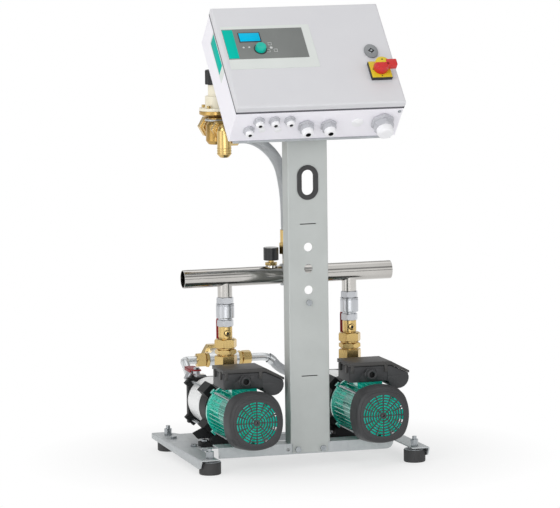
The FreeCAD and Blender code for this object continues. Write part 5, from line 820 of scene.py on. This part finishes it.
# %% [markdown]
# ## Risers
# Each riser is a stack of turned brass: the valve's hexagon, the hexagon of the union
# tail, the union nut and a round neck with a side plug, then the nickel-plated check
# valve. A thinner ring between two nuts leaves the dark groove.

# %% Risers
RISER_Y = 8.0
PLUG_Z = 295.0
VALVE_TOP = 242.1
NECK = [(0, 280), (15.0, 280), (15.0, 283.4), (16.0, 284.4), (16.0, 309.0), (0, 309.0)]
CHECK_BODY = [(0, 329.0), (19.8, 329.0), (21.0, 330.6), (21.0, 357.8), (20.0, 358.6),
              (20.0, 359.6), (21.0, 360.4), (21.0, 361.4), (20.4, 362.2), (0, 362.2)]
for side_name, side in SIDES:
    place = shift(PUMP_X * side, RISER_Y)
    bm = bmesh.new()
    nut(bm, 46.6, 217.5, VALVE_TOP)
    to_piece(bm, "valve_collar_" + side_name, "machined_brass", "frame", (), place)
    bm = bmesh.new()
    plug = facing((0, -1, 0), z=PLUG_Z)
    nut(bm, 13.0, 14.0, 20.0, 30, place=plug)
    # The plug's socket and the ring where it meets the neck are painted shade.
    disc(bm, 3.4, 20.0, 20.3, 24, 1, plug)
    spun(bm, [(7.6, 14.0), (7.6, 16.4), (0, 16.4)], 32, material=1, place=plug)
    disc(bm, 17.6, VALVE_TOP, 245.5)
    nut(bm, 44.0, 244.4, 257.2, 34)
    disc(bm, 18.4, 257, 260.4)
    nut(bm, 46.0, 259.6, 281.0)
    spun(bm, NECK)
    to_piece(bm, "union_stack_" + side_name, "machined_brass hollow_dark", "frame",
             ["riser_unions"], place)
    bm = bmesh.new()
    nut(bm, 34.0, 309.0, 325.6)
    disc(bm, 15.4, 325, 330)
    spun(bm, CHECK_BODY, 64)
    nut(bm, 35.0, 362.0, 378.0)
    to_piece(bm, "check_valve_" + side_name, "nickel_brass", "frame",
             ["check_valves"], place)

# %% [markdown]
# The levers behind the risers are strips of sheet with a round end, dipped in red
# plastic. The outline is drawn upright, extruded, and the soft edges are bevelled.

# %% Discharge levers
LEVER_STEM = 220.0
LEVER_BACK = 38.0
LEVER_THICK = 3.4
GRIP_HALF = 12.8
NECK_HALF = 9.0
STEM_RADIUS = 4.2
lever_outline = [(NECK_HALF, -9), (NECK_HALF, 18), (GRIP_HALF, 38)]
lever_outline += arc(GRIP_HALF, 0, 180, 12, y=99)
lever_outline += [(-GRIP_HALF, 38), (-NECK_HALF, 18), (-NECK_HALF, -9)]
for side_name, side in SIDES:
    bm = bmesh.new()
    slab(bm, lever_outline, 0.0, LEVER_THICK, 0.9)
    nut(bm, 13.0, 3.2, 8.4, material=1)
    disc(bm, STEM_RADIUS, -18.0, 1.0, 32, 1)
    turn = Matrix(((-1, 0, 0), (0, 0, 1), (0, 1, 0))).to_4x4()
    place = shift(PUMP_X * side, LEVER_BACK, LEVER_STEM) @ turn
    to_piece(bm, "riser_lever_" + side_name, "red_grip zinc_bolts",
             "discharge_handle_" + side_name, ["discharge_lever_" + side_name],
             place)

# %% [markdown]
# The suction tee has a thin ring and a longer nut at each end, and a wide inlet nut at
# the back with its thread open. The hose ends in a bare tube on the tee's side and in a
# ringed crimp on the valve's side.

# %% Suction nuts and hose ends
TEE = (-48.5, 382.0, 179.0)
TEE_HALF = 36.5
VALVE_Z = 150.0
CRIMP = [(0, 0), (11.9, 0), (12.2, 1.0), (12.2, 5.0), (11.6, 5.6), (11.6, 6.4), (12.2, 7.0),
         (12.2, 11.6), (11.6, 12.4), (0, 12.4)]
bm = bmesh.new()
for way in (-1, 1):
    along = facing((way, 0, 0))
    nut(bm, 33.4, TEE_HALF, TEE_HALF + 8.4, place=along)
    disc(bm, 13.4, TEE_HALF + 8, TEE_HALF + 10, 40, place=along)
    nut(bm, 31.6, TEE_HALF + 9.4, TEE_HALF + 31.0, 8, place=along)
nut(bm, 46.0, 80.0, 106.0, bore=15.5, place=facing((0, 1, 0)))
to_piece(bm, "tee_nuts", "machined_brass", "frame", ["suction_nuts"], shift(*TEE))
bm = bmesh.new()
disc(bm, 9.5, 0, 12.6, 40)
to_piece(bm, "tail_tube_start", "bright_tube", "frame", (),
         facing((1, 0, 0), 30.8, TEE[1], TEE[2]))
bm = bmesh.new()
spun(bm, CRIMP, 40)
to_piece(bm, "valve_crimp", "bright_tube", "frame", (),
         facing((0, 1, 0), PUMP_X, 300.0, VALVE_Z))

# %% [markdown]
# Each suction valve is turned by a red strip that lies flat above it, with its edge
# folded down. The fold is what catches the eye from the front.

# %% Suction levers
VALVE_Y = 258.0
RISE = 25.0
STRIP = [(-9, -9), (9, -9), (12.5, 14), (12.5, 62), (7.5, 67), (-7.5, 67), (-12.5, 62),
         (-12.5, 14)]
for side_name, side in SIDES:
    bm = bmesh.new()
    slab(bm, STRIP, RISE - 3.2, RISE, 0.9)
    for fold in (rectangle(-12.5, -10.0, 14, 62), rectangle(10.0, 12.5, 14, 62)):
        slab(bm, fold, RISE - 9.0, RISE - 0.6, 0.8)
    nut(bm, 13.0, RISE - 0.2, RISE + 5.0, material=1)
    disc(bm, STEM_RADIUS, 4.0, RISE - 2, 32, 1)
    to_piece(bm, "valve_lever_" + side_name, "red_grip zinc_bolts",
             "suction_handle_" + side_name, ["suction_lever_" + side_name],
             shift(PUMP_X * side, VALVE_Y, VALVE_Z))

# %% [markdown]
# The clamp that holds the manifold is a foot, an arm and a band. Its foot lies behind
# one of the round holes in the column and is punched there, so daylight comes through.
# Rings bridged between a circle and a square make that hole.

# %% Manifold clamp
CLAMP_HALF = 14.0
CLAMP_WALL = 4.0
CLAMP_BOTTOM = 363.0
HOLE_Z = 406.0
HOLE_RADIUS = 11.2
PIPE_Y = 8.0
PIPE_Z = 423.0
PIPE_RADIUS = 21.2
FOOT_FRONT = min((nodes["manifold_clamp"].matrix_world @ Vector(spot)).y
                 for spot in nodes["manifold_clamp"].bound_box) / MM

bm = bmesh.new()
rings = []
for reach, height in ((HOLE_RADIUS, 0), (0, 0), (0, CLAMP_WALL), (HOLE_RADIUS, CLAMP_WALL)):
    ring = bmesh.ops.create_circle(bm, segments=64, radius=MM)["verts"]
    for vert in ring:
        way = Vector((vert.co.x, vert.co.y)).normalized()
        out = reach or CLAMP_HALF / max(abs(way.x), abs(way.y))
        vert.co = (way.x * out * MM, (HOLE_Z + way.y * out) * MM, height * MM)
    rings.append(list({edge for vert in ring for edge in vert.link_edges}))
for first, second in zip(rings, rings[1:] + rings[:1]):
    bmesh.ops.bridge_loops(bm, edges=first + second)
slab(bm, rectangle(-CLAMP_HALF, CLAMP_HALF, CLAMP_BOTTOM, HOLE_Z - CLAMP_HALF), 0, CLAMP_WALL)
slab(bm, rectangle(-CLAMP_HALF, CLAMP_HALF, HOLE_Z + HOLE_RADIUS, PIPE_Z), 0.2, CLAMP_WALL)
bmesh.ops.transform(bm, matrix=shift(0, FOOT_FRONT) @ UPRIGHT, verts=bm.verts)
slab(bm, rectangle(-CLAMP_HALF, CLAMP_HALF, FOOT_FRONT + 0.4, PIPE_Y - PIPE_RADIUS - 1),
     PIPE_Z - 2 * CLAMP_WALL + 2, PIPE_Z - 0.2)
inner, outer = PIPE_RADIUS + 0.2, PIPE_RADIUS + CLAMP_WALL
spun(bm, [(inner, -CLAMP_HALF), (outer, -CLAMP_HALF), (outer, CLAMP_HALF), (inner, CLAMP_HALF)],
     64, closed=True, place=facing((1, 0, 0), 0, PIPE_Y, PIPE_Z))
to_piece(bm, "punched_clamp", "galvanised_sheet", "frame",
         ["manifold_clamp"])

# %% [markdown]
# The slits in the column look black, because shade fills them. A thin dark strip behind
# each one paints that shade without touching the column.

# %% Painted shade behind the slits
COLUMN_INSIDE = -157.2
SLIT_HEIGHTS = (557.0, 209.0)
for number, height in enumerate(SLIT_HEIGHTS):
    bm = bmesh.new()
    slab(bm, rectangle(-22, 22, -3.5, 3.5), 0.0, 0.8)
    to_piece(bm, f"slit_shade_strip_{number}", "hollow_dark", "frame", (),
             facing((0, 1, 0), 0, COLUMN_INSIDE, height))

# %% [markdown]
# ## Terminal boxes
# On each motor sits a stepped box with a sloping lid, a round housing for the capacitor
# at one end, clips, and a short cable entry. The outlines are drawn as the eye sees them
# from the front and extruded to the back, and a bevel gives the moulded corners.

# %% Terminal boxes
BOX_FRONT = -149.0
BOX_DEEP = 88.0
LIP = 1.4
BOX_OUTLINE = [(-51, 65), (39, 65), (91, 71), (91, 82), (48, 102), (-51, 102)]
LEDGES = [[(-49, 66), (-27, 66), (-27, 80), (-7, 97), (-7, 101), (-49, 101)],
          rectangle(12.5, 28, 68, 96),
          [(40, 66), (89, 72), (89, 81), (47, 100.5), (40, 100.5)]]
LID_OUTLINE = [(-52.5, 102.2), (48, 102.2), (91, 82.2), (92.5, 82.2), (92.5, 87.2), (48.5, 111),
               (-52.5, 111)]
CAPACITOR = arc(25.3, 169.2, 201.6, 24, x=66.0, y=72.5)
CLIPS = (-45.0, 36.0)
SIDE_CLIPS = (18.0, 66.0)
CLIP_SPAN = (87, 105)
ENTRY_X = -2.0
ENTRY_Z = 83.5
for side_name, side in SIDES:
    place = shift(PUMP_X * side, BOX_FRONT, SHAFT_Z) @ UPRIGHT
    bm = bmesh.new()
    slab(bm, BOX_OUTLINE, 0, BOX_DEEP, 3.0, 3)
    for ledge in LEDGES:
        slab(bm, ledge, -LIP, 2.0, 0.5)
    to_piece(bm, "terminal_box_" + side_name, "dark_plastic", "frame",
             ["terminal_boxes"], place)
    bm = bmesh.new()
    slab(bm, CAPACITOR, -2.0, BOX_DEEP - 0.6, 1.6)
    to_piece(bm, "capacitor_housing_" + side_name, "dark_plastic", "frame", (),
             place)
    bm = bmesh.new()
    slab(bm, LID_OUTLINE, -LIP, BOX_DEEP + LIP, 1.6, 3)
    for clip in CLIPS:
        slab(bm, rectangle(clip - 4, clip + 4, *CLIP_SPAN), -3.0, 0.0, 0.9)
        slab(bm, rectangle(clip - 2.4, clip + 2.4, 92, 96), -4.0, 0.0, 0.5)
    for back in SIDE_CLIPS:
        slab(bm, rectangle(-55.2, -50, *CLIP_SPAN), back - 4, back + 4, 0.9)
    to_piece(bm, "terminal_lid_" + side_name, "lid_plastic", "frame",
             ["terminal_lids"], place)
    bm = bmesh.new()
    nut(bm, 27.0, 0.2, 5.5)
    spun(bm, [(0, 0.5), (11.8, 0.5), (11.8, 14.0), (10.8, 15.6), (8.2, 16.2), (6.6, 15.4)], 40)
    # The mouth of the entry is painted shade.
    spun(bm, [(6.6, 15.4), (6.0, 6.0), (0, 6.0)], 40, material=1)
    to_piece(bm, "cable_entry_" + side_name, "dark_plastic hollow_dark", "frame",
             ["terminal_glands"],
             facing((0, -1, 0), PUMP_X * side + ENTRY_X, BOX_FRONT, SHAFT_Z + ENTRY_Z))

# %% [markdown]
# ## Stage casings
# The pump stages sit in a pressed sleeve with rounded rings all along it. A spun
# profile makes it, and the ring is one cosine wave repeated, so that every groove is
# alike and the rings turn smoothly into each other.

# %% Stage casings
CASING_RADIUS = 54.5
CASING_WALL = 3.0
CASING_RINGS = 7
RING_DEEP = 0.7
RING_STEPS = 8
casing_low, casing_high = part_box("stage_casings")
casing_front = casing_low.y / MM
casing_long = casing_high.y / MM - casing_front
count = CASING_RINGS * RING_STEPS
sleeve = [(CASING_RADIUS - CASING_WALL, 0.0)]
for step in range(count + 1):
    swell = 0.5 - 0.5 * math.cos(math.tau * step / RING_STEPS)
    sleeve.append((CASING_RADIUS - RING_DEEP * (1 - swell), casing_long * step / count))
sleeve.append((CASING_RADIUS - CASING_WALL, casing_long))
for side_name, side in SIDES:
    bm = bmesh.new()
    spun(bm, sleeve, 72, closed=True)
    to_piece(bm, "stage_sleeve_" + side_name, "pressed_sleeve", "frame",
             ["stage_casings"], facing((0, 1, 0), PUMP_X * side, casing_front, SHAFT_Z), 50)

# %% [markdown]
# ## The leaning cabinet
# Everything on the cabinet is measured in its own upright frame: X to the right, Y out
# of the door and Z up the door. One matrix leans it all by 45 degrees. Its corner is read
# from the shell's box, whose height and depth add up along the slope.

# %% Cabinet frame
TILT = math.radians(45)
SHELL_DEEP = 97.0
SHELL_HALF = 196.5
DOOR_FACE = 117.0
shell_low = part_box("cabinet_shell")[0]
edge_y = shell_low.y + SHELL_DEEP * MM * math.cos(TILT)
cabinet = Matrix.Translation((0, edge_y, shell_low.z)) @ Matrix.Rotation(-TILT, 4, "X")


def on_door(x=0, z=0):
    """A spot on the door face: local X right, local Y up, local Z outwards."""
    turn = Matrix(((1, 0, 0), (0, 0, -1), (0, 1, 0))).to_4x4()
    return cabinet @ shift(x, -DOOR_FACE, z) @ turn


def under_cabinet(x=0, back=0):
    """A spot on the underside: local Z points away from the cabinet."""
    return cabinet @ shift(x, -back) @ Matrix.Rotation(math.pi, 4, "X")


# %% [markdown]
# The control panel is a printed film with a dark field, a teal strip, a small display,
# two lamps and a turning knob. Thin slabs, each a fraction of a millimetre proud of the
# one below, catch the light at their edges as real films and bezels do. The strip and
# the places for marks carry nothing but plain shapes.

# %% Control panel
FILM = 0.8
FIELD = FILM + 0.5
BEZEL = FILM + 1.3
FILMS = [("panel_field", (-187, 1.5, 140, 229), FILM, FIELD, "field_film"),
         ("panel_strip", (-186.2, -162, 142, 227), FIELD, FILM + 0.8, "teal_film"),
         ("display_frame", (-152, -100.5, 189.5, 218), FIELD, BEZEL, "black_plastic"),
         ("display_glass", (-150, -102.5, 191.5, 216), BEZEL, FILM + 1.5, "display_blue")]
for name, place, low, high, label in FILMS:
    bm = bmesh.new()
    slab(bm, rectangle(*place), low, high, 0.15)
    to_piece(bm, name, label, "door", (), on_door())

bm = bmesh.new()
for x, z in ((-146, 174), (-132.7, 174.6)):
    lens = [(0, FILM + 1.9), (1.2, FILM + 1.7), (2.2, FILM + 1.0), (2.4, FILM + 0.4)]
    spun(bm, lens, 20, place=shift(x, z))
to_piece(bm, "status_lamps", "mark_film", "door", (), on_door())

# %% Key marks
MARK = FILM + 0.7
bm = bmesh.new()
for x, z in ((-83, 183), (-90.5, 162.5), (-73, 163)):
    for quarter in range(4):
        slab(bm, rectangle(-4.2, 4.2, 3.4, 4.2), FIELD, MARK,
             place=shift(x, z) @ spin_of(90 * quarter))
slab(bm, arc(3.4, count=24), FIELD, MARK, place=shift(-82, 171.5))
to_piece(bm, "key_marks", "mark_film", "door", (), on_door())

# %% [markdown]
# The knob is a smooth dome on a dark ring, spun from a few points, and a shallow dimple
# on top takes the finger.

# %% Control knob
KNOB = (-108.0, 168.0)
KNOB_CAP = [(0, 11.4), (4.0, 11.5), (8.6, 12.9), (11.2, 12.2), (12.2, 9.5), (12.5, 3.0),
            (12.5, 1.1), (0, 1.1)]
bm = bmesh.new()
spun(bm, [(13.6, 0.7), (15.4, 0.7), (15.4, 1.6), (14.4, 2.2), (13.2, 2.2)], closed=True)
to_piece(bm, "knob_ring", "black_plastic", "door", (), on_door(*KNOB))
bm = bmesh.new()
spun(bm, KNOB_CAP)
to_piece(bm, "knob_cap", "teal_plastic", "selector", ["control_knob"],
         on_door(*KNOB), 40)

# %% [markdown]
# The lock is an oval grey housing with a square key post, and the main switch is a
# square black base with a yellow card and a red handle. The handle's upper half holds a
# yellow bar for a padlock. All of them are slabs with soft edges; the post and the handle
# ride on bodies of their own.

# %% Lock and main switch
LOCK = on_door(149.0, 150.0)
SWITCH = on_door(155.0, 89.0)
BASE_TOP = 8.6
CARD_TOP = 10.6
HANDLE_STEP = 26.0
HANDLE_TOP = 35.0
bm = bmesh.new()
slab(bm, arc(16.0, count=48, high=19.8 / 16.0), 0.0, 4.6, 2.4, 4)
to_piece(bm, "lock_housing", "light_casting", "door", (), LOCK, 45)
bm = bmesh.new()
spun(bm, [(0, 4.9), (6.6, 4.9), (7.0, 4.4), (7.0, 1.0)], 40)
# The dark square round the post is painted shade of the keyhole.
slab(bm, square(5.2), 3.4, 5.4, material=1, place=spin_of(45))
slab(bm, square(2.4), 5.0, 5.9, place=spin_of(45))
to_piece(bm, "lock_post", "zinc_bolts hollow_dark", "lock", (), LOCK)

bm = bmesh.new()
slab(bm, square(24.4), 0.0, BASE_TOP, 1.0)
slab(bm, rectangle(-20, 20, -18, 18), -32.0, -2.2, 1.2)
to_piece(bm, "switch_base", "black_plastic", "door", ["switch_plate"], SWITCH)
bm = bmesh.new()
slab(bm, square(23.4), BASE_TOP, CARD_TOP, 0.5)
for x, z in ((-17.0, 0.0), (0.0, -19.5)):
    # The two dark discs are painted shade of holes in the card.
    slab(bm, arc(1.5, count=16), CARD_TOP, 10.9, material=1, place=shift(x, z))
to_piece(bm, "switch_card", "yellow_plastic hollow_dark", "door", (), SWITCH)

bm = bmesh.new()
slab(bm, arc(16.8, count=48), 11.4, 31.0, 1.2)
slab(bm, rectangle(8.0, 33.8, -8.8, 8.8), 19.0, HANDLE_TOP, 1.6, 3)
slab(bm, arc(16.0, 180, 180, 20), HANDLE_STEP, HANDLE_TOP, 1.2)
to_piece(bm, "switch_grip", "red_plastic", "main_switch", ["switch_handle"],
         SWITCH)
bm = bmesh.new()
slab(bm, arc(16.6, 0, 180, 20), HANDLE_STEP, 34.6, 1.2)
# The slot for the padlock is painted shade.
slab(bm, arc(2.2, count=16, high=1.6 / 2.2), 34.5, 34.9, material=1, place=shift(0, 8))
to_piece(bm, "padlock_bar", "yellow_plastic hollow_dark", "main_switch", (),
         SWITCH)

# %% [markdown]
# Between the door and the shell runs a narrow dark grey frame of four strips, a seal
# that paints the shade in the gap between door and shell. It sits on the rim of the
# shell and stands a hair proud of it.

# %% Rim seal and painted gap shade
RIM_FRONT = 99.4
RIM_BACK = 93.6
RIM_HALF = 196.9
RIM_LOW = -0.4
RIM_TOP = 296.4
bm = bmesh.new()
for strip in ((-RIM_HALF, RIM_HALF, RIM_LOW, 3.0), (-RIM_HALF, RIM_HALF, 293.0, RIM_TOP),
              (-RIM_HALF, -194.0, RIM_LOW, RIM_TOP), (194.0, RIM_HALF, RIM_LOW, RIM_TOP)):
    slab(bm, rectangle(*strip), RIM_BACK - DOOR_FACE, RIM_FRONT - DOOR_FACE)
to_piece(bm, "rim_seal_gap_shade", "seal_gap_shade", "frame", (), on_door())

# %% [markdown]
# Cable glands hang from the underside. Each is a hexagon on the sheet, a hexagonal cap
# and a domed end with a dark hole in it, painted shade; the big one is closed by a cap.
# The hexagons are a darker grey than the caps, painted shade on the same plastic. Flat
# round plugs close the spare holes.

# %% Cable glands
GLANDS = [(-157.0, 39.0, 24.0), (-139.0, 69.0, 24.0), (-103.0, 69.0, 24.0), (-67.0, 69.0, 24.0),
          (-25.0, 47.0, 34.0), (28.0, 47.0, 34.0), (154.0, 53.0, 48.0)]
PLUGS = [(-124.5, 36.0, 8.5), (-87.0, 35.0, 8.5), (97.0, 49.0, 13.5)]
CLOSED_FROM = 40
CAP_SHARE = 0.86
for number, (x, back, flats) in enumerate(GLANDS):
    cap = flats * CAP_SHARE
    end = flats * (CAP_SHARE if flats > 30 else 0.76)
    rim = cap * 0.46
    hole = 0.0 if flats > CLOSED_FROM else rim * 0.45
    bm = bmesh.new()
    nut(bm, flats, 0.2, flats * 0.22, 30)
    nut(bm, cap, flats * 0.2, end * 0.62, 30)
    spun(bm, [(rim * 0.9, flats * 0.3), (rim, end * 0.62), (rim, end * 0.84),
              (rim * 0.92, end * 0.95), (rim * 0.76, end), (hole, end)], 40, material=2)
    if hole:
        # The hole in the dome is painted shade.
        spun(bm, [(hole, end), (hole * 0.9, end * 0.6), (0, end * 0.6)], 32, material=1)
    to_piece(bm, f"gland_{number}", "gland_plastic hollow_dark gland_cap", "frame",
             ["cable_glands"], under_cabinet(x, back))

bm = bmesh.new()
for x, back, radius in PLUGS:
    spot = shift(x, back)
    spun(bm, [(0, 1.7), (radius - 1.2, 1.7), (radius, 1.0), (radius, 0)], 40, place=spot)
    if radius > 10:
        slab(bm, rectangle(-5, 5, -1.0, 1.0), 1.6, 2.1, 0.2, place=spot)
to_piece(bm, "blank_plugs", "gland_cap", "frame", (), under_cabinet())

bm = bmesh.new()
spun(bm, [(0, 2.4), (2.6, 2.3), (3.8, 1.4), (4.0, 0)], 24)
to_piece(bm, "earth_screw", "zinc_bolts", "frame", (), under_cabinet(189.0, 83.0))

# %% [markdown]
# A label with a teal field lies on the left side of the shell. It stays bare.

# %% Side label
left_side = cabinet @ shift(-SHELL_HALF, 0) @ Matrix(((0, 0, -1), (-1, 0, 0),
                                                      (0, 1, 0))).to_4x4()
for name, place, low, high, bevel, label in (
        ("side_label", (55, 93, 124, 246), 0.0, 0.25, 0.08, "label_film"),
        ("side_label_field", (58, 90, 147, 241), 0.25, 0.4, 0.05, "teal_film")):
    bm = bmesh.new()
    slab(bm, rectangle(*place), low, high, bevel)
    to_piece(bm, name, label, "frame", (), left_side)

# %% [markdown]
# ## Overflow valve
# The adjusting knob is fluted for grip. Every fourth point of a circle is drawn in, and
# its neighbours by half as much, before it is extruded. Then the top is lifted and drawn
# in by small steps.

# %% Adjusting knob
KNOB_FLUTES = 26
KNOB_RADIUS = 23.3
KNOB_TALL = 34.0
FLUTE_SHARE = (0.93, 0.965, 1.0, 0.965)
TOP_STEPS = ((KNOB_TALL - 4.0, 1.0), (1.6, 0.985), (1.2, 0.945), (0.8, 0.86), (0.3, 0.5))
knob_top = box_top("overflow_knob")
bm = bmesh.new()
ring = bmesh.ops.create_circle(bm, segments=KNOB_FLUTES * 4, radius=KNOB_RADIUS * MM,
                               cap_ends=True)["verts"]
for index, vert in enumerate(ring):
    vert.co *= FLUTE_SHARE[index % 4]
lid = bm.faces[:]
for lift, shrink in TOP_STEPS:
    lid = bmesh.ops.extrude_face_region(bm, geom=lid, use_keep_orig=lid[0].normal.z < 0)["geom"]
    verts = [item for item in lid if isinstance(item, bmesh.types.BMVert)]
    lid = [item for item in lid if isinstance(item, bmesh.types.BMFace)]
    bmesh.ops.translate(bm, vec=(0, 0, lift * MM), verts=verts)
    bmesh.ops.scale(bm, vec=(shrink, shrink, 1), verts=verts)
to_piece(bm, "adjusting_knob", "black_plastic", "adjusting_knob",
         ["overflow_knob"], knob_top @ shift(0, 0, -KNOB_TALL), 40)

# %% Ribs of the outlet nozzle
NOZZLE_Y = -59.0
NOZZLE_LOW = 706.0
RIB_HEIGHTS = (9.0, 15.0, 21.0)
bm = bmesh.new()
for height in RIB_HEIGHTS:
    spun(bm, [(15.9, height - 1.6), (16.7, height - 0.6), (16.7, height + 0.6),
              (15.9, height + 1.6)], closed=True)
to_piece(bm, "nozzle_ribs", "machined_brass", "frame", (),
         shift(knob_top.translation.x / MM, NOZZLE_Y, NOZZLE_LOW))

# %% [markdown]
# ## Gauge face
# The gauge looks up. Its white dial carries plain division marks, worked out by a loop
# over three quarters of a turn, and a thin glass closes the rim.

# %% Gauge face
DIAL_DOWN = 4.0
DIAL_RADIUS = 15.3
DIVISIONS = 28
MARK_END = 14.2
case_top = box_top("gauge_case")
dial_place = case_top @ shift(0, 0, -DIAL_DOWN)
bm = bmesh.new()
spun(bm, [(0, 0.35), (DIAL_RADIUS, 0.35), (DIAL_RADIUS, 0.05)])
to_piece(bm, "gauge_dial", "dial_white", "frame", (), dial_place)
bm = bmesh.new()
for step in range(DIVISIONS):
    long = 3.4 if step % 3 == 0 else 1.8
    slab(bm, rectangle(-0.22, 0.22, MARK_END - long, MARK_END), 0.35, 0.5,
         place=spin_of(135 - 10 * step))
to_piece(bm, "gauge_marks", "black_plastic", "frame", (), dial_place)
bm = bmesh.new()
spun(bm, [(0, -0.3), (DIAL_RADIUS, -0.3), (DIAL_RADIUS, -1.1), (0, -1.1)])
to_piece(bm, "gauge_window", "gauge_glass", "frame", (), case_top)

# %% [markdown]
# ## Floor, world and lamps
# The unit stands on a plain white floor under soft light. Close to the unit the floor is
# matt white and takes its shadow. Further out it turns into an even white, as a backdrop
# does, by the distance from the middle.

# %% Floor
FADE_START = 0.25
FADE_END = 0.62
FLOOR_HALF = 60
FLOOR_DROP = 0.2
tree, shader = finish("studio_floor", (247, 247, 247), (245.8, 245.8, 245.8), (0.8, 0.9),
                      cloud=0.5, relief=0.0, Specular_IOR_Level=0.0)
away = vector_node(tree, "LENGTH", object_spot(tree))["Value"]
fade = node(tree, "MapRange", Value=away, From_Min=FADE_START, From_Max=FADE_END, To_Min=0.62)
rays = node(tree, "LightPath").outputs
mirrored = math_node(tree, "MAXIMUM", rays["Is Glossy Ray"], rays["Is Transmission Ray"])
seen = math_node(tree, "MAXIMUM", rays["Is Camera Ray"], mirrored)
glow = node(tree, "Emission", Strength=1.0)
blend = node(tree, "MixShader", math_node(tree, "MULTIPLY", fade.outputs[0], seen),
             shader.outputs[0], glow.outputs[0])
feed(tree, tree.nodes["Material Output"].inputs["Surface"], blend.outputs[0])
bm = bmesh.new()
bmesh.ops.create_grid(bm, x_segments=1, y_segments=1, size=FLOOR_HALF,
                      matrix=shift(0, 0, -FLOOR_DROP))
floor_mesh = bpy.data.meshes.new("floor")
bm.to_mesh(floor_mesh)
bm.free()
floor_mesh.materials.append(FINISH["studio_floor"])
floor = bpy.data.objects.new("floor", floor_mesh)
scene.collection.objects.link(floor)

# %% [markdown]
# The world is white to the camera. In metal and glass it shows a few bands, as the walls
# of a studio do, because metal with nothing but white round it looks like paint.

# %% World
AMBIENT = 0.62
HEIGHT_BANDS = [(0.0, 0.7), (0.49, 0.9), (0.505, 0.2), (0.54, 0.25), (0.57, 1.0), (0.7, 1.0),
                (0.75, 0.3), (0.82, 0.3), (0.88, 0.95), (1.0, 0.9)]
SIDE_BANDS = [(0.0, 0.35), (0.1, 0.3), (0.14, 1.0), (0.3, 1.0), (0.34, 0.5), (0.46, 0.55),
              (0.5, 1.0), (0.7, 1.0), (0.76, 0.35), (0.9, 0.3), (1.0, 0.8)]
world = bpy.data.worlds.new("studio")
scene.world = world
world.use_nodes = True
tree = world.node_tree
direction = node(tree, "SeparateXYZ", node(tree, "TexCoord").outputs["Generated"]).outputs


def banded(part, table):
    """Grey bands by one part of the direction, which runs from minus one to one."""
    share = math_node(tree, "ADD", math_node(tree, "MULTIPLY", part, 0.5), 0.5)
    made = node(tree, "ValToRGB", share)
    elements = made.color_ramp.elements
    while len(elements) < len(table):
        elements.new(0.5)
    for element, (position, grey) in zip(elements, table):
        element.position = position
        element.color = (grey, grey, grey, 1)
    return made.outputs[0]


studio = vector_node(tree, "MULTIPLY", banded(direction["Z"], HEIGHT_BANDS),
                     banded(direction["X"], SIDE_BANDS))[0]
rays = node(tree, "LightPath").outputs
mirrored = math_node(tree, "MAXIMUM", rays["Is Glossy Ray"], rays["Is Transmission Ray"])
plain_light = blend_colours(tree, rays["Is Camera Ray"], (AMBIENT, AMBIENT, AMBIENT, 1),
                            (1, 1, 1, 1))
feed(tree, tree.nodes["Background"].inputs["Color"],
     blend_colours(tree, mirrored, plain_light, studio))

# %% Lamps
LAMPS = [("key", (-3.2, -2.6, 2.4), 2.6, 44.0), ("fill", (3.0, -2.6, 1.8), 2.4, 12.0),
         ("low", (-0.8, -4.2, 0.3), 2.4, 36.0), ("side", (-3.0, -0.9, 0.6), 1.8, 7.0),
         ("top", (0.2, 0.8, 3.4), 2.4, 4.0)]
TARGET = Vector((0, 0, 0.5))
for name, spot, size, power in LAMPS:
    lamp = bpy.data.lights.new(name, "AREA")
    lamp.shape = "DISK"
    lamp.size = size
    lamp.energy = power
    holder = bpy.data.objects.new(name, lamp)
    scene.collection.objects.link(holder)
    holder.location = spot
    holder.rotation_mode = "QUATERNION"
    holder.rotation_quaternion = (TARGET - Vector(spot)).to_track_quat("-Z", "Y")
